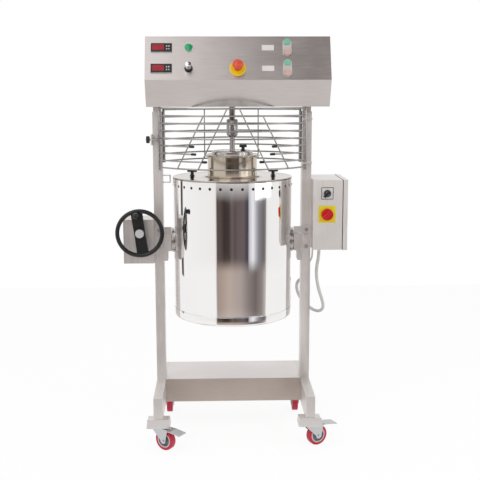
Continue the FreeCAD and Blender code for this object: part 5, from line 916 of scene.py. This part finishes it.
pin = revolve([(0, 0), (0.008, 0), (0.008, 0.008), (0.004, 0.008), (0.004, 0.0515), (0, 0.0515)],
              (crank_x, WHEEL_Y, crank_z), FRONT, 0.0005, 32)
piece("handwheel_rim", [rim, hub, pin], "handwheel", [BLACK], ["handwheel"])
piece("handwheel_cap", [cap], "handwheel", [CAP_GREY])
SPOKE_WIDTH, SPOKE_THICK, SPOKE_LEAN = 0.046, 0.009, math.radians(8)


def spoke_plate():
    """A plate across the rim: half width swells towards the rim, thickness is a soft-edged bar."""
    along = np.linspace(-1, 1, 61)
    around = np.linspace(0, 2 * np.pi, 48, endpoint=False)
    half = SPOKE_WIDTH / 2 * (0.92 + 0.08 * along ** 2)
    square = 0.22
    across = np.sign(np.cos(around)) * np.abs(np.cos(around)) ** square
    deep = np.sign(np.sin(around)) * np.abs(np.sin(around)) ** square * SPOKE_THICK / 2
    reach = np.sqrt(np.maximum(RIM_RADIUS ** 2 - (half[:, None] * across) ** 2, 0)) * along[:, None]
    x = half[:, None] * across
    z = reach
    lean_x = HAND_X + x * math.cos(SPOKE_LEAN) - z * math.sin(SPOKE_LEAN)
    lean_z = HAND_Z + x * math.sin(SPOKE_LEAN) + z * math.cos(SPOKE_LEAN)
    y = WHEEL_Y + np.broadcast_to(deep, x.shape)
    points = np.stack([lean_x, y, lean_z], axis=-1).reshape(-1, 3)
    return points, grid_faces(61, 48, False, True)


plate_piece = piece("handwheel_spoke", [spoke_plate()], "handwheel", [BLACK])
SPOKE_FACE = SPOKE_THICK / 2
crank_profile = [(0.0043, SPOKE_FACE + 0.0038), (0.008, SPOKE_FACE + 0.0038), (0.008, SPOKE_FACE + 0.0068),
                 (0.011, SPOKE_FACE + 0.029), (0.011, SPOKE_FACE + 0.047)]
crank_profile += quarter((0, SPOKE_FACE + 0.047), 0.011, 15, 85, 7)
crank_profile += [(0.0005, SPOKE_FACE + 0.058), (0.0005, SPOKE_FACE + 0.0473), (0.0043, SPOKE_FACE + 0.0473)]
piece("crank_grip", [revolve(crank_profile, (crank_x, WHEEL_Y, crank_z), FRONT, 0.0008, 48)], "crank", [BLACK],
      ["crank_handle"])
latch_low, latch_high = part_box("latch_knob")
latch_middle = ((latch_low.y + latch_high.y) / 2, (latch_low.z + latch_high.z) / 2)
grip_face = -0.315
latch_pin = revolve([(0, 0), (0.004, 0), (0.004, latch_high.x - grip_face + 0.004), (0, latch_high.x - grip_face + 0.004)],
                    (latch_high.x, *latch_middle), (-1, 0, 0), 0.0006, 28)
latch_grip = star((grip_face, *latch_middle), (-1, 0, 0), 0.014, 0.006, 0.0, 0.0135)
piece("latch_knob_grip", [latch_pin, latch_grip], "latch", [TURNED_STEEL, BLACK], ["latch_knob"])
print("handwheel, crank and latch made")

# %% [markdown]
# ## Casters
#
# Each caster is a red polyurethane tyre on a grey core, with a pale ring between them
# where the tyre is cast on. Forks and pedals are zinc plated sheet from the frame.

# %% Casters
WHEEL_RADIUS, WHEEL_HALF, CORE_RADIUS = 0.040, 0.012, 0.027


def wheel_parts(centre, axis):
    """Tyre, pale ring and core of one wheel."""
    tyre_profile = [(CORE_RADIUS + 0.002, -WHEEL_HALF), (WHEEL_RADIUS - 0.004, -WHEEL_HALF)]
    tyre_profile += quarter((WHEEL_RADIUS - 0.004, -WHEEL_HALF + 0.004), 0.004, -80, 0, 6)
    tyre_profile += quarter((WHEEL_RADIUS - 0.004, WHEEL_HALF - 0.004), 0.004, 0, 80, 6)
    tyre_profile += [(WHEEL_RADIUS - 0.004, WHEEL_HALF), (CORE_RADIUS + 0.002, WHEEL_HALF)]
    ring_profile = [(CORE_RADIUS - 0.002, -WHEEL_HALF - 0.0002), (CORE_RADIUS + 0.002, -WHEEL_HALF - 0.0002),
                    (CORE_RADIUS + 0.002, WHEEL_HALF + 0.0002), (CORE_RADIUS - 0.002, WHEEL_HALF + 0.0002)]
    core_profile = [(0.0043, -WHEEL_HALF), (0.010, -WHEEL_HALF), (0.011, -0.003), (0.021, -0.003),
                    (0.023, -WHEEL_HALF + 0.0005), (CORE_RADIUS - 0.002, -WHEEL_HALF),
                    (CORE_RADIUS - 0.002, WHEEL_HALF), (0.023, WHEEL_HALF - 0.0005), (0.021, 0.003), (0.011, 0.003),
                    (0.010, WHEEL_HALF), (0.0043, WHEEL_HALF)]
    return [revolve(tyre_profile, centre, axis, 0.0008, 96), revolve(ring_profile, centre, axis, 0.0005, 96),
            revolve(core_profile, centre, axis, 0.0008, 96)]


for name, joint_name in (("front_wheel_left", "front_roll_left"), ("front_wheel_right", "front_roll_right"),
                         ("rear_wheel_left", "rear_roll_left"), ("rear_wheel_right", "rear_roll_right")):
    joint = JOINT[joint_name]
    piece(name + "_tyre", wheel_parts(joint["pos_m"], joint["axis"]), BODY_OF[name], [TYRE, RING_WHITE, CORE_GREY],
          [name])
for word in ("left", "right"):
    softened(f"front_fork_{word}", [ZINC], 0.0007)
    softened(f"brake_pedal_{word}", [ZINC], 0.0007)
print("casters made")

# %% [markdown]
# ## Control panel
#
# Controls sit on the leaning panel. Each one is drawn on the panel's own axes: x to
# the right, up along the sheet and out from it. The legend tags and the plate under
# the head are left bare.

# %% Places on the panel
PANEL_LEAN = math.radians(22)
PANEL_UP = np.array([0, math.sin(PANEL_LEAN), math.cos(PANEL_LEAN)])
PANEL_OUT = np.array([0, -math.cos(PANEL_LEAN), math.sin(PANEL_LEAN)])
FOLD = np.array([0, KETTLE_Y - 0.205, 1.287 + 0.096])
PANEL_LOW, PANEL_HIGH = 0.044, 0.124
METER_X, DIAL_X, STOP_X, TAG_X, PAIR_X = -0.258, -0.160, 0.017, 0.127, 0.197


def on_panel(x, up, out=0.0):
    """A point at x, up along the panel and out from it."""
    return np.array([x, 0, 0]) + FOLD + up * PANEL_UP + out * PANEL_OUT


def soft_slab(centre, axes, width, height, low, high, corner=0.0008, steps=24):
    """A soft-cornered slab: a superellipse across two axes, carried along a third from low to high."""
    across_axis, along_axis, out_axis = (np.array(axis, float) for axis in axes)
    angle = np.linspace(0, 2 * np.pi, steps * 4, endpoint=False) + np.pi / (steps * 4)
    power = 0.12
    across = np.sign(np.cos(angle)) * np.abs(np.cos(angle)) ** power
    along = np.sign(np.sin(angle)) * np.abs(np.sin(angle)) ** power
    share = np.array([0.0, 1.0, 1.0, 1.0 - corner * 2 / min(width, height), 0.0])
    out = np.array([low, low, high - corner, high, high])
    shrink = (1 - share) * min(width, height) / 2
    half_w = np.where(share > 0, width / 2 - shrink, 0.0)[:, None, None]
    half_h = np.where(share > 0, height / 2 - shrink, 0.0)[:, None, None]
    points = (np.array(centre, float) + across[:, None] * half_w * across_axis
              + along[:, None] * half_h * along_axis + out[:, None, None] * out_axis)
    return points.reshape(-1, 3), grid_faces(len(out), len(angle), False, True)


def panel_slab(x, up, width, height, low, high, corner=0.0008, steps=24):
    """A soft-cornered slab that stands on the leaning panel."""
    return soft_slab(on_panel(x, up), ((1, 0, 0), PANEL_UP, PANEL_OUT), width, height, low, high, corner, steps)


print("panel axes set")

# %% Controllers, buttons and tags
softened("temperature_controllers", [BLACK_ABS], 0.0007)
windows = []
marks = []
for up in (PANEL_LOW, PANEL_HIGH):
    windows.append(panel_slab(METER_X - 0.0115, up + 0.001, 0.042, 0.022, 0.0038, 0.0046, 0.0003))
    for dx, dy, w, h in ((0.0195, 0.005, 0.0045, 0.0055), (0.0275, 0.005, 0.0045, 0.0055),
                         (0.0195, -0.0055, 0.0045, 0.0045), (0.0275, -0.0055, 0.0045, 0.0045)):
        marks.append(panel_slab(METER_X + dx, up + dy, w, h, 0.0038, 0.0044, 0.0003, 8))
piece("controller_windows", windows, "frame", [DISPLAY_RED])
piece("controller_keys", marks, "frame", [CAP_GREY])
lips = [panel_slab(METER_X, up - 0.0178, 0.074, 0.0022, 0.0, 0.0032, 0.0004) for up in (PANEL_LOW, PANEL_HIGH)]
piece("controller_lips", lips, "frame", [CAP_GREY])


def fitting_material(centres):
    """Face materials of the panel fittings: ring, washer, tags and double bezels, by where they stand."""
    x = centres[:, 0]
    up = (centres - FOLD) @ PANEL_UP
    which = np.full(len(x), 2)
    which[(x < 0) & (up > 0.08)] = 0
    which[(x < 0) & (up <= 0.08)] = 1
    which[x > 0.165] = 3
    return which


softened("panel_fittings", [CHROME, BLACK_ABS, TAG_WHITE, PALE], 0.0006, fitting_material)
for word in ("upper", "lower"):
    softened(f"start_button_{word}", [KEY_GREEN], 0.0008)
    softened(f"stop_button_{word}", [KEY_RED], 0.0008)
green_cap = revolve([(0, 0.002), (0.0142, 0.002), (0.0142, 0.0055), (0, 0.0070)], on_panel(DIAL_X, PANEL_HIGH), PANEL_OUT,
                    0.0014, 64)
green_stem = revolve([(0, -0.020), (0.005, -0.020), (0.005, 0.003), (0, 0.003)], on_panel(DIAL_X, PANEL_HIGH), PANEL_OUT,
                     0.0004, 24)
piece("green_button_cap", [green_cap, green_stem], "green_button", [GREEN], ["green_button"])
knob_skirt = revolve([(0, 0.004), (0.0128, 0.004), (0.0128, 0.012), (0.0112, 0.015), (0, 0.015)],
                     on_panel(DIAL_X, PANEL_LOW), PANEL_OUT, 0.0010, 64)
knob_top = revolve([(0, 0.0145), (0.0108, 0.0145), (0.0104, 0.0405), (0, 0.042)], on_panel(DIAL_X, PANEL_LOW), PANEL_OUT, 0.0006, 64)
knob_stem = revolve([(0, -0.020), (0.005, -0.020), (0.005, 0.005), (0, 0.005)], on_panel(DIAL_X, PANEL_LOW), PANEL_OUT,
                    0.0004, 24)
piece("speed_knob_grip", [knob_skirt, knob_top, knob_stem], "speed_knob", [BLACK, CHROME, BLACK],
      ["speed_knob"])
stop_profile = [(0, 0.0), (0.011, 0.0), (0.011, 0.031), (0.017, 0.031), (0.0197, 0.034)]
stop_profile += [(0.020 * math.cos(a), 0.0355 + 0.0125 * math.sin(a)) for a in np.radians(np.linspace(2, 88, 12))]
stop_profile += [(0, 0.048)]
mushroom = revolve(stop_profile, on_panel(STOP_X, PANEL_LOW), PANEL_OUT, 0.0008, 96)
stop_rod = revolve([(0, -0.020), (0.005, -0.020), (0.005, 0.002), (0, 0.002)], on_panel(STOP_X, PANEL_LOW), PANEL_OUT,
                   0.0004, 24)
piece("estop_mushroom", [mushroom, stop_rod], "emergency_stop", [RED_MUSHROOM], ["estop_button"])
collar = revolve([(0.0113, 0), (0.030, 0), (0.030, 0.002), (0.026, 0.004), (0.0113, 0.004)], on_panel(STOP_X, PANEL_LOW),
                 PANEL_OUT, 0.0009, 96)
piece("estop_disc", [collar], "frame", [YELLOW], ["estop_collar"])
print("panel controls made")

# %% [markdown]
# ## Control box
#
# A folded box on the right post, with a door on its outer side that closes on a black
# rubber gasket. Two rotary switches stand on the front.

# %% Control box
SEAL_FACE = 0.420


def door_material(centres):
    """The gasket lies between the box and the door's inner face; the rest of the door is sheet."""
    low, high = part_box("control_box")
    inside = (centres[:, 0] < SEAL_FACE - 0.0005) & (centres[:, 1] < KETTLE_Y + 0.1301)
    return np.where(inside, 1, 0)


softened("control_box", [BOX_STEEL], 0.0012)
softened("control_box_door", [BOX_STEEL, GASKET], 0.0008, door_material)
softened("switch_plates", [SWITCH_YELLOW, TAG_WHITE], 0.0010, lambda centres: (centres[:, 2] > 0.93).astype(int))
softened("cable_glands", [NYLON], 0.0006)
print("control box finished")

# %% Rotary switches
SWITCH_TURN = math.radians(45)
SELECTOR_PLATE = 0.046
RIM_WIDTH = 0.0022
RIM_MIDDLE = SELECTOR_PLATE / 2 - RIM_WIDTH / 2
turned_axes = ((math.cos(SWITCH_TURN), 0, math.sin(SWITCH_TURN)), (-math.sin(SWITCH_TURN), 0, math.cos(SWITCH_TURN)), FRONT)


def switch_foot(joint_name):
    """The point on the switch plate that a rotary switch turns about."""
    place = JOINT[joint_name]["pos_m"]
    return np.array([place[0], KETTLE_Y - 0.113, place[2]])


main_foot = switch_foot("main_switch_turn")
main_disc = revolve([(0, 0.0004), (0.0225, 0.0004), (0.0228, 0.010), (0.0210, 0.0125), (0, 0.0125)], main_foot, FRONT, 0.0014, 96)
main_grip = soft_slab(main_foot, turned_axes, 0.041, 0.014, 0.004, 0.022, 0.0022)
main_stem = revolve([(0, -0.016), (0.005, -0.016), (0.005, 0.002), (0, 0.002)], main_foot, FRONT, 0.0004, 24)
piece("main_switch_grip", [main_disc, main_grip, main_stem], "main_switch", [SWITCH_RED],
      ["main_switch_knob"])
selector_foot = switch_foot("selector_turn")
selector_disc = revolve([(0, 0.0004), (0.0135, 0.0004), (0.0135, 0.008), (0.0120, 0.010), (0, 0.010)], selector_foot, FRONT, 0.0012, 64)
lever_middle = selector_foot - 0.004 * np.array(turned_axes[0])
selector_lever = soft_slab(lever_middle, turned_axes, 0.030, 0.009, 0.004, 0.0178, 0.0014)
selector_face = revolve([(0, 0.0100), (0.0088, 0.0100), (0.0088, 0.0106), (0, 0.0110)], selector_foot, FRONT, 0.0004, 48)
selector_stem = revolve([(0, -0.016), (0.004, -0.016), (0.004, 0.002), (0, 0.002)], selector_foot, FRONT, 0.0004, 24)
piece("selector_grip", [selector_disc, selector_lever, selector_stem, selector_face], "selector",
      [BLACK_ABS, BLACK_ABS, BLACK_ABS, SWITCH_GREY], ["selector_knob"])
plate_rim = []
for dx, dz, w, h in ((0, RIM_MIDDLE, SELECTOR_PLATE, RIM_WIDTH), (0, -RIM_MIDDLE, SELECTOR_PLATE, RIM_WIDTH),
                     (RIM_MIDDLE, 0, RIM_WIDTH, SELECTOR_PLATE - 2 * RIM_WIDTH),
                     (-RIM_MIDDLE, 0, RIM_WIDTH, SELECTOR_PLATE - 2 * RIM_WIDTH)):
    plate_rim.append(soft_slab(selector_foot + np.array((dx, 0, dz)), ((1, 0, 0), (0, 0, 1), FRONT),
                               w, h, 0.0, 0.0006, 0.0003, 8))
piece("selector_plate_rim", plate_rim, "frame", [BLACK_ABS])
print("rotary switches made")
